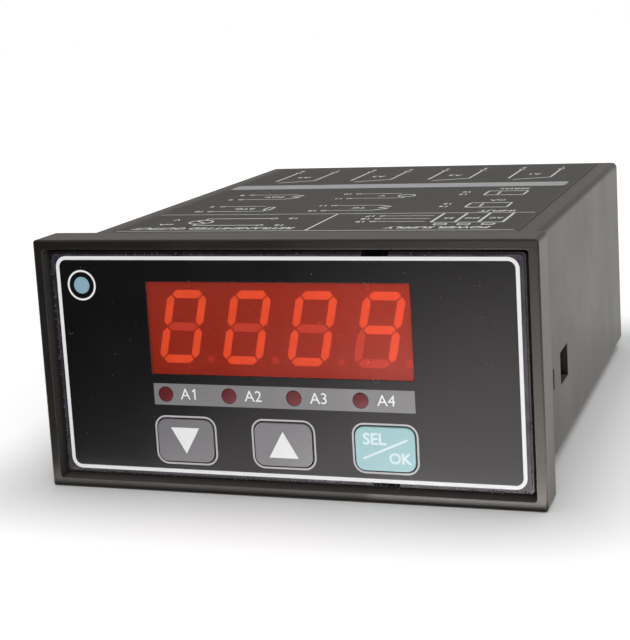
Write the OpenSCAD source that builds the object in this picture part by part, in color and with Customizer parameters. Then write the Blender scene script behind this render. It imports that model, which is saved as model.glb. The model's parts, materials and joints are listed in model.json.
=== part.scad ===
// Digital panel meter for a 92 x 45 mm panel cut-out.
// Frame: the panel's front surface is the plane y = 0. The bezel stands in front of it, towards -Y,
// and the sleeve goes through the cut-out, towards +Y. +X is to the right of someone who reads the
// meter, and +Z is up. All sizes are in millimetres.

/* [Bezel] */
// Width of the bezel
bezel_w = 96; // [94:0.5:110]
// Height of the bezel
bezel_h = 48; // [47:0.5:60]
// Depth of the bezel in front of the panel
bezel_t = 8; // [7.6:0.1:14]
// Width of the rim that surrounds the front insert
rim_t = 1.8; // [1.2:0.1:2.2]
// Outer corner radius of the bezel
bezel_corner_r = 0.8; // [0.4:0.1:2]
// Chamfer on the rim's outer front edge
rim_chamfer = 0.3; // [0.1:0.05:0.6]
// How far the insert's face lies behind the rim
face_recess = 1.6; // [0.8:0.1:2]

/* [Sleeve] */
// How far the bezel stands out past the sleeve's sides
overhang_x = 2.8; // [2.4:0.1:3.4]
// How far the bezel stands out past the sleeve's top and bottom
overhang_z = 1.7; // [1.5:0.1:2]
// Length of the sleeve behind the panel
sleeve_len = 112; // [108:0.5:150]
// Thickness of the sleeve's walls
sleeve_wall = 2; // [1.6:0.1:2.2]
// Thickness of the rear wall
rear_wall = 2; // [1.6:0.1:3]
// Corner radius of the sleeve
sleeve_corner_r = 1.2; // [0.6:0.1:1.8]
// Distance of the latch slots' centre behind the panel
latch_y = 28.6; // [24:0.5:50]
// Height of the latch slots' centre
latch_z = -7; // [-8:0.5:8]
// Length of a latch slot
latch_slot_len = 8.2; // [6:0.2:12]
// Height of a latch slot
latch_slot_h = 6.4; // [5:0.2:8]
// Distance of the clamp notches behind the panel
clamp_notch_y = 17; // [10:0.5:20]
// Depth of the clamp notches
clamp_notch_depth = 0.8; // [0.4:0.1:1.1]

/* [Front insert] */
// Thickness of the insert's plate
plate_t = 3; // [2.6:0.1:3.4]
// Gap between the insert and the rim
insert_gap = 0.8; // [0.2:0.1:0.9]
// Thickness of the printed film
film_t = 0.25; // [0.15:0.05:0.4]
// How far the film stays inside the plate's edge
film_inset = 0.35; // [0.1:0.05:0.6]
// Width of the display window
window_w = 50.8; // [50.8:0.2:56]
// Height of the display window
window_h = 17.6; // [16:0.2:19]
// Middle of the window, to the right of the bezel's middle
window_x = -0.6; // [-6:0.1:6]
// Middle of the window, above the bezel's middle
window_z = 7.1; // [6.6:0.1:8]
// Width of the notches for prying the insert out
pry_w = 5; // [3:0.5:8]
// Depth of the notches for prying the insert out
pry_depth = 1.2; // [0.6:0.1:1.4]
// Middle of the pry notches
pry_x = 18.6; // [10:0.2:24]
// Thickness of the snap arms
arm_t = 1.6; // [1.2:0.1:1.8]
// Height of the snap arms
arm_h = 9.6; // [8:0.2:10]

/* [Display] */
// Pitch of the digits
digit_pitch = 12.7; // [12.6:0.05:12.8]
// Height of a digit module
digit_body_h = 19; // [18:0.2:19.2]
// Depth of a digit module
digit_depth = 8; // [6:0.2:9]
// Height of the seven-segment figure
figure_h = 13.9; // [12:0.1:14.4]
// Width of the seven-segment figure
figure_w = 7.9; // [6.6:0.1:8]
// Stroke of the horizontal segments
stroke_h = 1.55; // [1.2:0.05:1.9]
// Stroke of the upright segments
stroke_v = 1.5; // [1.1:0.05:1.7]
// Slant of the figure in degrees
slant = 12; // [0:0.5:13]
// Radius of the decimal point
point_r = 0.75; // [0.5:0.05:0.9]
// Radius of the alarm lamps' lenses
lamp_r = 1.4; // [1.2:0.05:1.5]
// Height of the alarm lamps' row
lamp_z = -5.5; // [-5.9:0.1:-5.4]

/* [Keys] */
// Width of a key cap
cap_w = 11.1; // [9:0.1:12]
// Height of a key cap
cap_h = 8.1; // [7:0.1:8.6]
// Corner radius of a key cap
cap_corner_r = 1.7; // [0.8:0.1:2.5]
// Gap round a key cap
cap_gap = 0.2; // [0.1:0.05:0.3]
// How far a cap stands in front of the film
cap_rise = 0.3; // [0.1:0.05:0.6]
// Travel of a key
key_travel = 0.4; // [0.2:0.05:0.6]
// Distance between neighbouring keys
key_pitch = 19.4; // [17:0.2:20]
// Middle of the row of keys above the inside of the sleeve's bottom wall
key_lift = 6; // [5.8:0.1:6.4]
// Side of a tact switch's base
switch_side = 6; // [5:0.5:7]
// Height of a tact switch's base
switch_base_h = 3.5; // [3:0.1:3.8]
// Radius of a tact switch's plunger
plunger_r = 1.75; // [1:0.05:2]

/* [Boards] */
// Thickness of the circuit boards
board_t = 1.6; // [1:0.1:2]
// Room between a side board and the sleeve's top or bottom wall
board_room = 5.3; // [4.6:0.1:5.6]
// Depth of the guide ribs that hold the boards
rib_depth = 1.3; // [1:0.1:1.8]

/* [Terminals] */
// Pitch of the screw terminals
pole_pitch = 5.08; // [5:0.01:5.1]
// Height of a terminal header
header_h = 8.6; // [8.2:0.1:9.6]
// Depth of a terminal header
header_len = 12; // [11:0.5:14]
// Wall of a terminal header
header_wall = 1; // [0.8:0.1:1.2]
// Height of a terminal plug behind the sleeve
plug_h = 15; // [14:0.2:16]
// Length of a terminal plug behind the sleeve
plug_len = 9.7; // [9:0.1:14]
// Side of a terminal pin
pin_side = 1; // [0.8:0.05:1.1]
// Clearance between a plug and its header
plug_clearance = 0.3; // [0.2:0.05:0.4]
// Radius of a terminal screw's head
screw_head_r = 1.75; // [1.5:0.05:1.85]

/* [Hidden] */
$fn = 48;

// Cuts run past the faces that they open by this much
over = 1;

// Depths of the front's layers, from the rim's face backwards
rim_y = -bezel_t;
face_y = rim_y + face_recess;
film_back_y = face_y + film_t;
plate_back_y = film_back_y + plate_t;
rear_y = sleeve_len;
rear_inner_y = rear_y - rear_wall;

// Outside of the sleeve, and the clear space inside the rim and inside the sleeve
sleeve_w = bezel_w - 2 * overhang_x;
sleeve_h = bezel_h - 2 * overhang_z;
pocket_w = bezel_w - 2 * rim_t;
pocket_h = bezel_h - 2 * rim_t;
inner_w = sleeve_w - 2 * sleeve_wall;
inner_h = sleeve_h - 2 * sleeve_wall;
plate_w = pocket_w - 2 * insert_gap;
plate_h = pocket_h - 2 * insert_gap;

// The red window: a pane flush with the film, on a flange that sits in the plate
window_fit = 0.1;
flange_side = 1.1;
flange_over = 1.8;
flange_t = 1.2;
flange_w = window_w + 2 * flange_side;
flange_h = window_h + 2 * flange_over;
window_back_y = film_back_y + flange_t;

// The digits stand right behind the window, on the display board
digit_gap = 0.15;
digit_clear = 0.2;
digit_body_w = digit_pitch - 0.1;
digit_face_y = window_back_y + digit_gap;
segment_t = 0.6;
segment_gap = 0.2;
board_face_y = digit_face_y + digit_depth;
board_back_y = board_face_y + board_t;
digits = [0 : 3];
figure_shift = -0.1;
point_x = 5.1;
point_z = 0.9;
function digit_x(k) = window_x + (k - 1.5) * digit_pitch;

// Which segments of each digit are lit, in the order a to g
lit = [
  [1, 1, 1, 1, 1, 1, 0],
  [1, 1, 1, 1, 1, 1, 0],
  [1, 1, 1, 1, 1, 1, 0],
  [1, 1, 1, 0, 0, 1, 1]
];

// The alarm lamps stand a little right of the window's left edge, one to each digit
lamp_inset = 2.5;
lamp_clear = 0.1;
lamp_dome = 0.15;
lamp_flange_r = lamp_r + 0.3;
lamp_flange_t = 1;
lead_r = 0.25;
lead_x = 1.27;
function lamp_x(k) = window_x - window_w / 2 + lamp_inset + k * digit_pitch;

// Keys: cap, retaining flange behind the plate, short boss on the switch's plunger
keys = [0 : 2];
key_z = key_lift - inner_h / 2;
key_stop_gap = 0.1;
key_flange_over = 0.6;
key_flange_t = 1;
cap_face_y = face_y - cap_rise;
key_flange_y = plate_back_y + key_stop_gap;
key_back_y = key_flange_y + key_flange_t;
boss_r = 2;
switch_top_y = board_face_y - switch_base_h;
plunger_out = 1.5;
plunger_in = 0.7;
plunger_face_y = switch_top_y - plunger_out;
plunger_fit = 0.1;
plunger_room = 0.3;
function key_x(k) = window_x + (k - 1) * key_pitch;

// Snap arms run along the sleeve's side walls and hook into its latch slots
arm_gap = 0.3;
arm_x = inner_w / 2 - arm_gap - arm_t;
hook_play = 0.3;
hook_rest = 0.4;
hook_flat = 1.5;
hook_front_y = latch_y - latch_slot_len / 2 + hook_play;
hook_back_y = latch_y + latch_slot_len / 2 - hook_play;
arm_end_y = hook_back_y + 2;
clamp_notch_len = 1.2;
clamp_notch_h = 4;

// Posts and screws that carry the display board
post_r = 2.2;
post_in_x = 5.2;
post_in_z = 3.3;
post_x = inner_w / 2 - post_in_x;
post_z = inner_h / 2 - post_in_z;
screw_r = 0.85;
screw_fit = 0.05;
screw_len = 5;
screw_cap_r = 1.7;
screw_cap_t = 1.3;

// Boards
board_z = inner_h / 2 - board_room - board_t;
display_board_w = 2 * arm_x - 0.8;
display_board_h = inner_h - 2;
board_gap = 0.5;
side_board_w = inner_w - 1;
side_board_y0 = board_back_y + board_gap;
side_board_y1 = rear_inner_y - board_gap;
rib_t = 1;
rib_gap = 0.1;
rib_short = 4;
rib_y0 = board_back_y + rib_short;
rib_y1 = rear_inner_y - rib_short;
link_side = 2.5;
link_pitch = 2.54;
link_pin = 0.6;
link_tail = 1.8;
link_poles = [0 : 11];

// Terminals: each block holds its poles, its middle and +1 for the upper row
header_side = 1;
header_margin = 3.4;
function header_w(poles) = poles * pole_pitch + 2 * header_side;
function block_x(poles) = inner_w / 2 - header_margin - header_w(poles) / 2;
input_block = [8, -block_x(8), 1];
output_block = [4, block_x(4), 1];
relay_block = [8, -block_x(8), -1];
supply_block = [3, block_x(3), -1];
blocks = [input_block, output_block, relay_block, supply_block];
header_base_t = 3;
opening_gap = 0.3;
header_y0 = rear_y - header_len;
pin_tip_y = rear_y - 1.5;
pin_tail = 1.2;
plug_shoulder_y = rear_y + plug_clearance;
plug_end_y = plug_shoulder_y + plug_len;
plug_nose_y = header_y0 + header_base_t + plug_clearance;
plug_drop = 6.5;
socket_room = 0.8;
wire_w = 2.8;
wire_h = 3.2;
wire_depth = 8;
groove_w = 0.6;
groove_depth = 0.4;
screw_back = 4.6;
screw_y = plug_end_y - screw_back;
screw_hole_gap = 0.25;
screw_sink = 0.6;
screw_head_t = 2.2;
screw_slot_w = 0.5;
screw_slot_depth = 0.8;
shank_r = 1.25;
function pole_x(poles, k) = (k - (poles - 1) / 2) * pole_pitch;
header_mid_z = board_z - header_h / 2;

// Transformer, near the right edge of the lower board
core_w = 30;
core_stack = 12.5;
core_base = 2;
core_room = 0.8;
core_h = 2 * board_z - core_base - core_room;
core_z0 = core_base - board_z;
leg_w = 5;
window_gap_w = 5;
yoke = 4.5;
bobbin_fit = 0.05;
bobbin_wall = 0.75;
bobbin_y = 11.2;
bobbin_x = leg_w + window_gap_w - 0.1;
cheek_t = 0.8;
transformer_in = 18.7;
transformer_back = 41.4;
transformer_x = side_board_w / 2 - transformer_in;
transformer_y = board_back_y + transformer_back;

// Relays, in front of the relay terminals
relay_size = [10.2, 20.4, 15.6];
relay_pitch = 11.2;
relay_mark = 2;
relay_front = 20;
relay_y = header_y0 - relay_front;

// Other parts of the lower board
can_r = 8;
can_h = 20;
can_bead = 0.5;
can_in = 15.7;
can_back = 29.4;
package_r = 0.3;
bridge_size = [8.5, 6.4, 3.4];
bridge_back = 19.4;
sink_w = 16;
sink_d = 12;
sink_h = 18;
sink_wall = 1.5;
sink_in = 30.7;
sink_back = 45.4;
sink_x = -side_board_w / 2 + sink_in;
sink_y = board_back_y + sink_back;
case_w = 10;
case_h = 9;
case_t = 4.5;
tab_t = 1.3;
tab_h = 15;
lead_len = 2;
fuse_r = 2.4;
fuse_cap_t = 0.2;
fuse_len = 20;
cap_len = 5;
fuse_lift = 3.6;
fuse_in = 8.7;
fuse_gap = 3;
fuse_y = transformer_y + bobbin_y + fuse_gap + fuse_len / 2;
varistor_r = 5.5;
varistor_t = 4;
varistor_lift = 2;
varistor_in = 24.7;
varistor_gap = 5;
varistor_y = transformer_y + bobbin_y + varistor_gap + varistor_t / 2;

// Parts under the upper board
opto_size = [8.8, 6.4, 3.5];
opto_pitch = 14;
opto_in = 12.7;
opto_front = 38;
opto_x = -side_board_w / 2 + opto_in;
opto_y = header_y0 - opto_front;
converter_size = [10.4, 7.5, 2.5];
converter_in = 20.7;
converter_x = side_board_w / 2 - converter_in;
converter_back = 19.4;
trimmer_size = [9.6, 4.8, 10];
trimmer_screw_r = 1.1;
trimmer_pitch = 14;
trimmer_back = 13.4;

// Print label on the sleeve's top
label_side = 4.2;
label_w = sleeve_w - 2 * label_side;
label_t = 0.15;
label_front = 5;
label_rear = 3;

// ---- shapes that repeat ----

// A rounded rectangle about the origin
module round_rect(w, h, r) {
  square([w - 2 * r, h], center = true);
  square([w, h - 2 * r], center = true);
  for (sx = [-1, 1], sz = [-1, 1])
    translate([sx * (w / 2 - r), sz * (h / 2 - r)]) circle(r = r);
}

// Extrudes an outline in X and Z from one depth to another
module slab(y0, y1) {
  translate([0, y1, 0]) rotate([90, 0, 0]) linear_extrude(height = y1 - y0) children();
}

// A block between two corners
module block(low, high) {
  translate(low) cube(high - low);
}

// A round bar along Y between two depths
module bar(x, z, r, y0, y1) {
  translate([x, y0, z]) rotate([-90, 0, 0]) cylinder(r = r, h = y1 - y0);
}

// ---- casing ----

module rear_opening(spec) {
  w = header_w(spec[0]) + 2 * opening_gap;
  h = header_h + 2 * opening_gap;
  translate([spec[1], 0, spec[2] * header_mid_z])
    slab(rear_inner_y - over, rear_y + over) square([w, h], center = true);
}

module guide_ribs(side) {
  x0 = inner_w / 2 - rib_depth;
  for (level = [board_z - rib_gap - rib_t, board_z + board_t + rib_gap], flip = [0, 1])
    mirror([0, 0, flip]) mirror([side, 0, 0])
      block([x0, rib_y0, level], [inner_w / 2 + 0.1, rib_y1, level + rib_t]);
}

module rim_chamfers() {
  side = rim_chamfer * sqrt(2);
  for (s = [-1, 1]) {
    translate([0, rim_y, s * bezel_h / 2]) rotate([45, 0, 0])
      cube([bezel_w + 2 * over, side, side], center = true);
    translate([s * bezel_w / 2, rim_y, 0]) rotate([0, 0, 45])
      cube([side, side, bezel_h + 2 * over], center = true);
  }
}

module housing() {
  color([0.16, 0.155, 0.15]) {
    difference() {
      union() {
        slab(rim_y, 0) round_rect(bezel_w, bezel_h, bezel_corner_r);
        slab(-over, rear_y) round_rect(sleeve_w, sleeve_h, sleeve_corner_r);
      }
      rim_chamfers();
      slab(rim_y - over, plate_back_y) round_rect(pocket_w, pocket_h, 0.6);
      slab(plate_back_y - over, rear_inner_y) round_rect(inner_w, inner_h, 0.6);
      for (spec = blocks) rear_opening(spec);
      for (s = [-1, 1]) {
        translate([s * sleeve_w / 2, latch_y, latch_z])
          cube([2 * sleeve_wall + over, latch_slot_len, latch_slot_h], center = true);
        translate([s * sleeve_w / 2, clamp_notch_y, latch_z])
          cube([2 * clamp_notch_depth, clamp_notch_len, clamp_notch_h], center = true);
      }
    }
    for (side = [0, 1]) guide_ribs(side);
  }
}

// ---- front insert ----

module pry_notches(y0, y1) {
  for (s = [-1, 1])
    translate([pry_x, 0, s * plate_h / 2])
      slab(y0 - over, y1 + over) square([pry_w, 2 * pry_depth], center = true);
}

module key_openings(y0, y1) {
  for (k = keys)
    translate([key_x(k), 0, key_z]) slab(y0 - over, y1 + over)
      round_rect(cap_w + 2 * cap_gap, cap_h + 2 * cap_gap, cap_corner_r + cap_gap);
}

module lamp_openings(y0, y1) {
  for (k = digits) bar(lamp_x(k), lamp_z, lamp_r + lamp_clear, y0 - over, y1 + over);
}

module snap_arm() {
  block([arm_x, plate_back_y, latch_z - arm_h / 2], [arm_x + arm_t, arm_end_y, latch_z + arm_h / 2]);
  hook_h = latch_slot_h - 2 * hook_play;
  hook_out = sleeve_w / 2 - hook_rest;
  translate([0, 0, latch_z - hook_h / 2]) linear_extrude(height = hook_h)
    polygon([
      [arm_x + arm_t - 0.1, hook_front_y], [hook_out, hook_front_y],
      [hook_out, hook_front_y + hook_flat], [arm_x + arm_t - 0.1, hook_back_y]
    ]);
}

module front_panel() {
  color([0.13, 0.13, 0.135])
    difference() {
      union() {
        slab(film_back_y, plate_back_y) round_rect(plate_w, plate_h, 0.6);
        for (sx = [-1, 1], sz = [-1, 1])
          bar(sx * post_x, sz * post_z, post_r, plate_back_y - 0.5, board_face_y);
        for (side = [0, 1]) mirror([side, 0, 0]) snap_arm();
      }
      translate([window_x, 0, window_z]) {
        slab(film_back_y - over, window_back_y)
          square([flange_w + 2 * window_fit, flange_h + 2 * window_fit], center = true);
        slab(window_back_y - over, plate_back_y + over)
          square([4 * digit_pitch + 2 * digit_clear, digit_body_h + 2 * digit_clear], center = true);
      }
      key_openings(film_back_y, plate_back_y);
      lamp_openings(film_back_y, plate_back_y);
      pry_notches(film_back_y, plate_back_y);
      for (sx = [-1, 1], sz = [-1, 1])
        bar(sx * post_x, sz * post_z, screw_r + screw_fit, board_back_y - screw_len - 0.4, board_face_y + over);
    }
}

module overlay_film() {
  color([0.06, 0.06, 0.065])
    difference() {
      slab(face_y, film_back_y)
        round_rect(plate_w - 2 * film_inset, plate_h - 2 * film_inset, 0.8);
      translate([window_x, 0, window_z]) slab(face_y - over, film_back_y + over)
        square([window_w, window_h], center = true);
      key_openings(face_y, film_back_y);
      lamp_openings(face_y, film_back_y);
      pry_notches(face_y, film_back_y);
    }
}

module red_window() {
  color([0.62, 0.1, 0.06, 0.6])
    translate([window_x, 0, window_z]) {
      slab(film_back_y, window_back_y) square([flange_w, flange_h], center = true);
      slab(face_y, film_back_y + flange_t / 2)
        square([window_w - 2 * window_fit, window_h - 2 * window_fit], center = true);
    }
}

// ---- display ----

// Corners of a level segment: half length, half stroke, with mitred ends
function level_segment(half_len, half_stroke) = [
  [-half_len, 0], [-half_len + half_stroke, half_stroke], [half_len - half_stroke, half_stroke],
  [half_len, 0], [half_len - half_stroke, -half_stroke], [-half_len + half_stroke, -half_stroke]
];

// Corners of an upright segment between two heights
function upright_segment(z0, z1, half_stroke) = [
  [0, z0], [half_stroke, z0 + half_stroke], [half_stroke, z1 - half_stroke],
  [0, z1], [-half_stroke, z1 - half_stroke], [-half_stroke, z0 + half_stroke]
];

function moved(points, dx, dz) = [for (p = points) [p[0] + dx, p[1] + dz]];
function slanted(points) = [for (p = points) [p[0] + p[1] * tan(slant), p[1]]];

// The outline of one segment about the figure's middle, numbered 0 to 6 for a to g
function segment(n) =
  let (
    x = (figure_w - stroke_v) / 2,
    z = (figure_h - stroke_h) / 2,
    level = level_segment(x - segment_gap, stroke_h / 2),
    high = upright_segment(segment_gap, z - segment_gap, stroke_v / 2),
    low = upright_segment(segment_gap - z, -segment_gap, stroke_v / 2),
    flat = [moved(level, 0, z), moved(high, x, 0), moved(low, x, 0), moved(level, 0, -z),
      moved(low, -x, 0), moved(high, -x, 0), level]
  ) slanted(flat[n]);

module figure_parts(k, state) {
  translate([digit_x(k) + figure_shift, 0, window_z]) {
    for (n = [0 : 6])
      if (state == 2 || lit[k][n] == state) slab(digit_face_y, digit_face_y + segment_t) polygon(segment(n));
    if (state != 1)
      bar(point_x - figure_shift, point_z - figure_h / 2, point_r, digit_face_y, digit_face_y + segment_t);
  }
}

module digit(k) {
  color([0.35, 0.13, 0.11])
    difference() {
      translate([digit_x(k), 0, window_z]) slab(digit_face_y, board_face_y)
        square([digit_body_w, digit_body_h], center = true);
      figure_parts(k, 2);
    }
}

module digit_1() digit(0);
module digit_2() digit(1);
module digit_3() digit(2);
module digit_4() digit(3);

module lit_segments() {
  color([1, 0.33, 0.16]) for (k = digits) figure_parts(k, 1);
}

module unlit_segments() {
  color([0.62, 0.2, 0.16]) for (k = digits) figure_parts(k, 0);
}

module alarm_lamp(k) {
  lens_len = plate_back_y - face_y;
  color([0.45, 0.05, 0.06])
    translate([lamp_x(k), 0, lamp_z]) {
      translate([0, face_y - lamp_dome, 0]) rotate([-90, 0, 0]) rotate_extrude()
        polygon([
          [0, 0], [lamp_r * 0.5, lamp_dome * 0.25], [lamp_r * 0.85, lamp_dome * 0.65],
          [lamp_r, lamp_dome], [lamp_r, lamp_dome + lens_len], [0, lamp_dome + lens_len]
        ]);
      bar(0, 0, lamp_flange_r, plate_back_y, plate_back_y + lamp_flange_t);
    }
  color("silver")
    for (s = [-1, 1])
      bar(lamp_x(k) + s * lead_x, lamp_z, lead_r, plate_back_y + lamp_flange_t, board_face_y);
}

module alarm_lamp_1() alarm_lamp(0);
module alarm_lamp_2() alarm_lamp(1);
module alarm_lamp_3() alarm_lamp(2);
module alarm_lamp_4() alarm_lamp(3);

// ---- keys and their switches ----

module key(k, tint) {
  color(tint)
    translate([key_x(k), 0, key_z]) {
      slab(cap_face_y, key_flange_y + key_flange_t / 2) round_rect(cap_w, cap_h, cap_corner_r);
      slab(key_flange_y, key_back_y)
        round_rect(cap_w + 2 * key_flange_over, cap_h + 2 * key_flange_over, cap_corner_r);
      bar(0, 0, boss_r, key_back_y - 0.2, plunger_face_y);
    }
}

module down_key() key(0, [0.42, 0.41, 0.43]);
module up_key() key(1, [0.44, 0.43, 0.45]);
module select_key() key(2, [0.62, 0.8, 0.81]);

module switch_plunger(k) {
  color([0.12, 0.12, 0.12])
    bar(key_x(k), key_z, plunger_r, plunger_face_y, switch_top_y + plunger_in);
}

module switch_plunger_1() switch_plunger(0);
module switch_plunger_2() switch_plunger(1);
module switch_plunger_3() switch_plunger(2);

module switch_base(k) {
  foot = 0.8;
  foot_t = 0.3;
  color([0.3, 0.3, 0.31])
    difference() {
      union() {
        translate([key_x(k), 0, key_z]) slab(switch_top_y, board_face_y)
          square([switch_side, switch_side], center = true);
        for (sx = [-1, 1], sz = [-1, 1])
          translate([key_x(k) + sx * (switch_side / 2 + foot / 2), 0, key_z + sz * switch_side * 0.37])
            slab(board_face_y - foot_t, board_face_y) square([foot + 0.2, foot], center = true);
      }
      bar(key_x(k), key_z, plunger_r + plunger_fit, switch_top_y - over,
        switch_top_y + plunger_in + key_travel + plunger_room);
    }
}

module switch_base_1() switch_base(0);
module switch_base_2() switch_base(1);
module switch_base_3() switch_base(2);

// ---- circuit boards and what they carry ----

module display_board() {
  color([0.1, 0.3, 0.17])
    difference() {
      slab(board_face_y, board_back_y)
        square([display_board_w, display_board_h], center = true);
      for (sx = [-1, 1], sz = [-1, 1])
        bar(sx * post_x, sz * post_z, screw_r + 0.2, board_face_y - over, board_back_y + over);
    }
}

module board_screws() {
  color("silver")
    for (sx = [-1, 1], sz = [-1, 1])
      difference() {
        union() {
          bar(sx * post_x, sz * post_z, screw_r, board_back_y - screw_len, board_back_y);
          bar(sx * post_x, sz * post_z, screw_cap_r, board_back_y, board_back_y + screw_cap_t);
        }
        for (turn = [0, 90])
          translate([sx * post_x, board_back_y + screw_cap_t, sz * post_z]) rotate([0, turn, 0])
            cube([2 * screw_cap_r * 0.7, screw_cap_t, 0.5], center = true);
      }
}

module controller_chip() {
  side = 12;
  tall = 2.2;
  leads = 10;
  pitch = 1;
  color([0.1, 0.1, 0.1])
    slab(board_back_y + 0.2, board_back_y + tall) round_rect(side, side, 0.4);
  color("silver")
    for (turn = [0 : 90 : 270], k = [0 : leads - 1])
      rotate([0, turn, 0])
        block([side / 2, board_back_y, (k - (leads - 1) / 2) * pitch - 0.2],
          [side / 2 + 1.2, board_back_y + 0.3, (k - (leads - 1) / 2) * pitch + 0.2]);
}

// Right-angle pin strip that joins the display board to a side board
module link(up) {
  tail_y = board_back_y + link_side + link_tail;
  mirror([0, 0, up ? 0 : 1]) {
    color([0.1, 0.1, 0.1])
      block([link_poles[0] - 6 * link_pitch, board_back_y, board_z - link_side],
        [6 * link_pitch, board_back_y + link_side, board_z]);
    color("gold")
      for (k = link_poles)
        translate([(k - 5.5) * link_pitch, 0, 0]) {
          block([-link_pin / 2, board_back_y + link_side, board_z - link_side / 2 - link_pin / 2],
            [link_pin / 2, tail_y, board_z - link_side / 2 + link_pin / 2]);
          block([-link_pin / 2, tail_y - link_pin, board_z - link_side / 2],
            [link_pin / 2, tail_y, board_z]);
        }
  }
}

module lower_link() link(false);
module upper_link() link(true);

module side_board(z) {
  color([0.1, 0.3, 0.17])
    block([-side_board_w / 2, side_board_y0, z], [side_board_w / 2, side_board_y1, z + board_t]);
}

module lower_board() side_board(-board_z - board_t);
module upper_board() side_board(board_z);

// Mains transformer: laminated core, moulded bobbin and winding

module at_transformer() {
  translate([transformer_x, transformer_y, core_z0]) children();
}

module transformer_core() {
  color([0.42, 0.42, 0.44]) at_transformer()
    difference() {
      translate([0, 0, core_h / 2]) cube([core_w, core_stack, core_h], center = true);
      for (s = [-1, 1])
        translate([s * (leg_w + window_gap_w / 2), 0, core_h / 2])
          cube([window_gap_w, core_stack + 2 * over, core_h - 2 * yoke], center = true);
    }
}

module transformer_bobbin() {
  tube_x = leg_w + bobbin_fit + bobbin_wall;
  tube_y = core_stack / 2 + bobbin_fit + bobbin_wall;
  z0 = yoke + 0.1;
  z1 = core_h - yoke - 0.1;
  color([0.12, 0.12, 0.12]) at_transformer() {
    difference() {
      union() {
        block([-tube_x, -tube_y, z0], [tube_x, tube_y, z1]);
        for (z = [z0, z1 - cheek_t])
          block([-bobbin_x, -bobbin_y, z], [bobbin_x, bobbin_y, z + cheek_t]);
        for (s = [0, 1]) mirror([0, s, 0])
          block([-bobbin_x, core_stack / 2 + 0.3, -core_base], [bobbin_x, bobbin_y, z0 + 0.1]);
      }
      block([-leg_w - bobbin_fit, -core_stack / 2 - bobbin_fit, z0 - over],
        [leg_w + bobbin_fit, core_stack / 2 + bobbin_fit, z1 + over]);
    }
    block([-core_w / 2, -bobbin_y, -core_base], [core_w / 2, bobbin_y, -bobbin_fit]);
  }
}

module transformer_winding() {
  z0 = yoke + 0.1 + cheek_t;
  z1 = core_h - yoke - 0.1 - cheek_t;
  wound_x = leg_w + window_gap_w - 0.4;
  wound_y = bobbin_y - 0.3;
  color([0.85, 0.72, 0.2]) at_transformer() translate([0, 0, z0])
    linear_extrude(height = z1 - z0) difference() {
      round_rect(2 * wound_x, 2 * wound_y, 1.5);
      square([2 * (leg_w + bobbin_fit + bobbin_wall), core_stack + 2 * (bobbin_fit + bobbin_wall)], center = true);
    }
}

module relay(k) {
  color([0.12, 0.2, 0.42])
    translate([relay_block[1] + (k - 1.5) * relay_pitch, relay_y, -board_z])
      difference() {
        linear_extrude(height = relay_size[2]) round_rect(relay_size[0], relay_size[1], 0.6);
        translate([0, relay_size[1] / 2 - relay_mark, relay_size[2]])
          cube([relay_size[0] - 2 * relay_mark, relay_mark / 2, relay_mark / 3], center = true);
      }
}

module relay_1() relay(0);
module relay_2() relay(1);
module relay_3() relay(2);
module relay_4() relay(3);

module main_capacitor() {
  color([0.15, 0.17, 0.25])
    translate([-side_board_w / 2 + can_in, board_back_y + can_back, -board_z]) difference() {
      rotate_extrude() polygon([
        [0, 0], [can_r - can_bead, 0], [can_r, can_bead], [can_r, 3 * can_bead],
        [can_r - can_bead, 4 * can_bead], [can_r, 5 * can_bead], [can_r, can_h - can_bead], [can_r - can_bead, can_h], [0, can_h]
      ]);
      for (turn = [0, 90])
        translate([0, 0, can_h]) rotate([0, 0, turn]) cube([can_r, can_bead, can_bead], center = true);
    }
}

// A moulded package with its foot on the lower board, or hung under the upper board
module package(x, y, size, up) {
  translate([x, y, up ? board_z - size[2] : -board_z])
    linear_extrude(height = size[2]) round_rect(size[0], size[1], package_r);
}

module bridge_rectifier() {
  color([0.08, 0.08, 0.08]) package(0, board_back_y + bridge_back, bridge_size, false);
}

// The regulator's tab lies flat on the heat sink's web
module heat_sink() {
  color([0.2, 0.2, 0.21])
    translate([sink_x, sink_y, -board_z]) linear_extrude(height = sink_h) difference() {
      square([sink_w, sink_d], center = true);
      translate([0, -sink_wall]) square([sink_w - 2 * sink_wall, sink_d], center = true);
    }
}

module regulator() {
  tab_y = sink_y + sink_d / 2 - sink_wall;
  half = case_w / 2;
  foot_z = -board_z + lead_len;
  color("silver")
    block([sink_x - half, tab_y - tab_t, foot_z], [sink_x + half, tab_y, foot_z + tab_h]);
  color([0.08, 0.08, 0.08])
    block([sink_x - half, tab_y - case_t, foot_z], [sink_x + half, tab_y - tab_t, foot_z + case_h]);
  color("silver")
    for (s = [-1, 0, 1])
      block([sink_x + s * link_pitch - lead_r, tab_y - 2 * tab_t, -board_z],
        [sink_x + s * link_pitch + lead_r, tab_y - 2 * tab_t + 2 * lead_r, foot_z]);
}

module fuse() {
  x = side_board_w / 2 - fuse_in;
  z = fuse_lift - board_z;
  color([0.75, 0.78, 0.78]) bar(x, z, fuse_r, fuse_y - fuse_len / 2 + cap_len, fuse_y + fuse_len / 2 - cap_len);
  color("silver")
    for (s = [-1, 1]) translate([0, fuse_y + s * (fuse_len - cap_len) / 2, 0]) {
      bar(x, z, fuse_r + fuse_cap_t, -cap_len / 2, cap_len / 2);
      block([x - fuse_r / 2, -cap_len / 2, -board_z], [x + fuse_r / 2, cap_len / 2, z]);
    }
}

module varistor() {
  x = side_board_w / 2 - varistor_in;
  color([0.15, 0.3, 0.6])
    translate([x, varistor_y, varistor_r + varistor_lift - board_z]) rotate([90, 0, 0])
      cylinder(r = varistor_r, h = varistor_t, center = true);
  color("silver")
    for (s = [-1, 1])
      translate([x + s * varistor_r / 2, varistor_y, -board_z])
        cylinder(r = lead_r, h = varistor_lift + varistor_r / 3);
}

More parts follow.
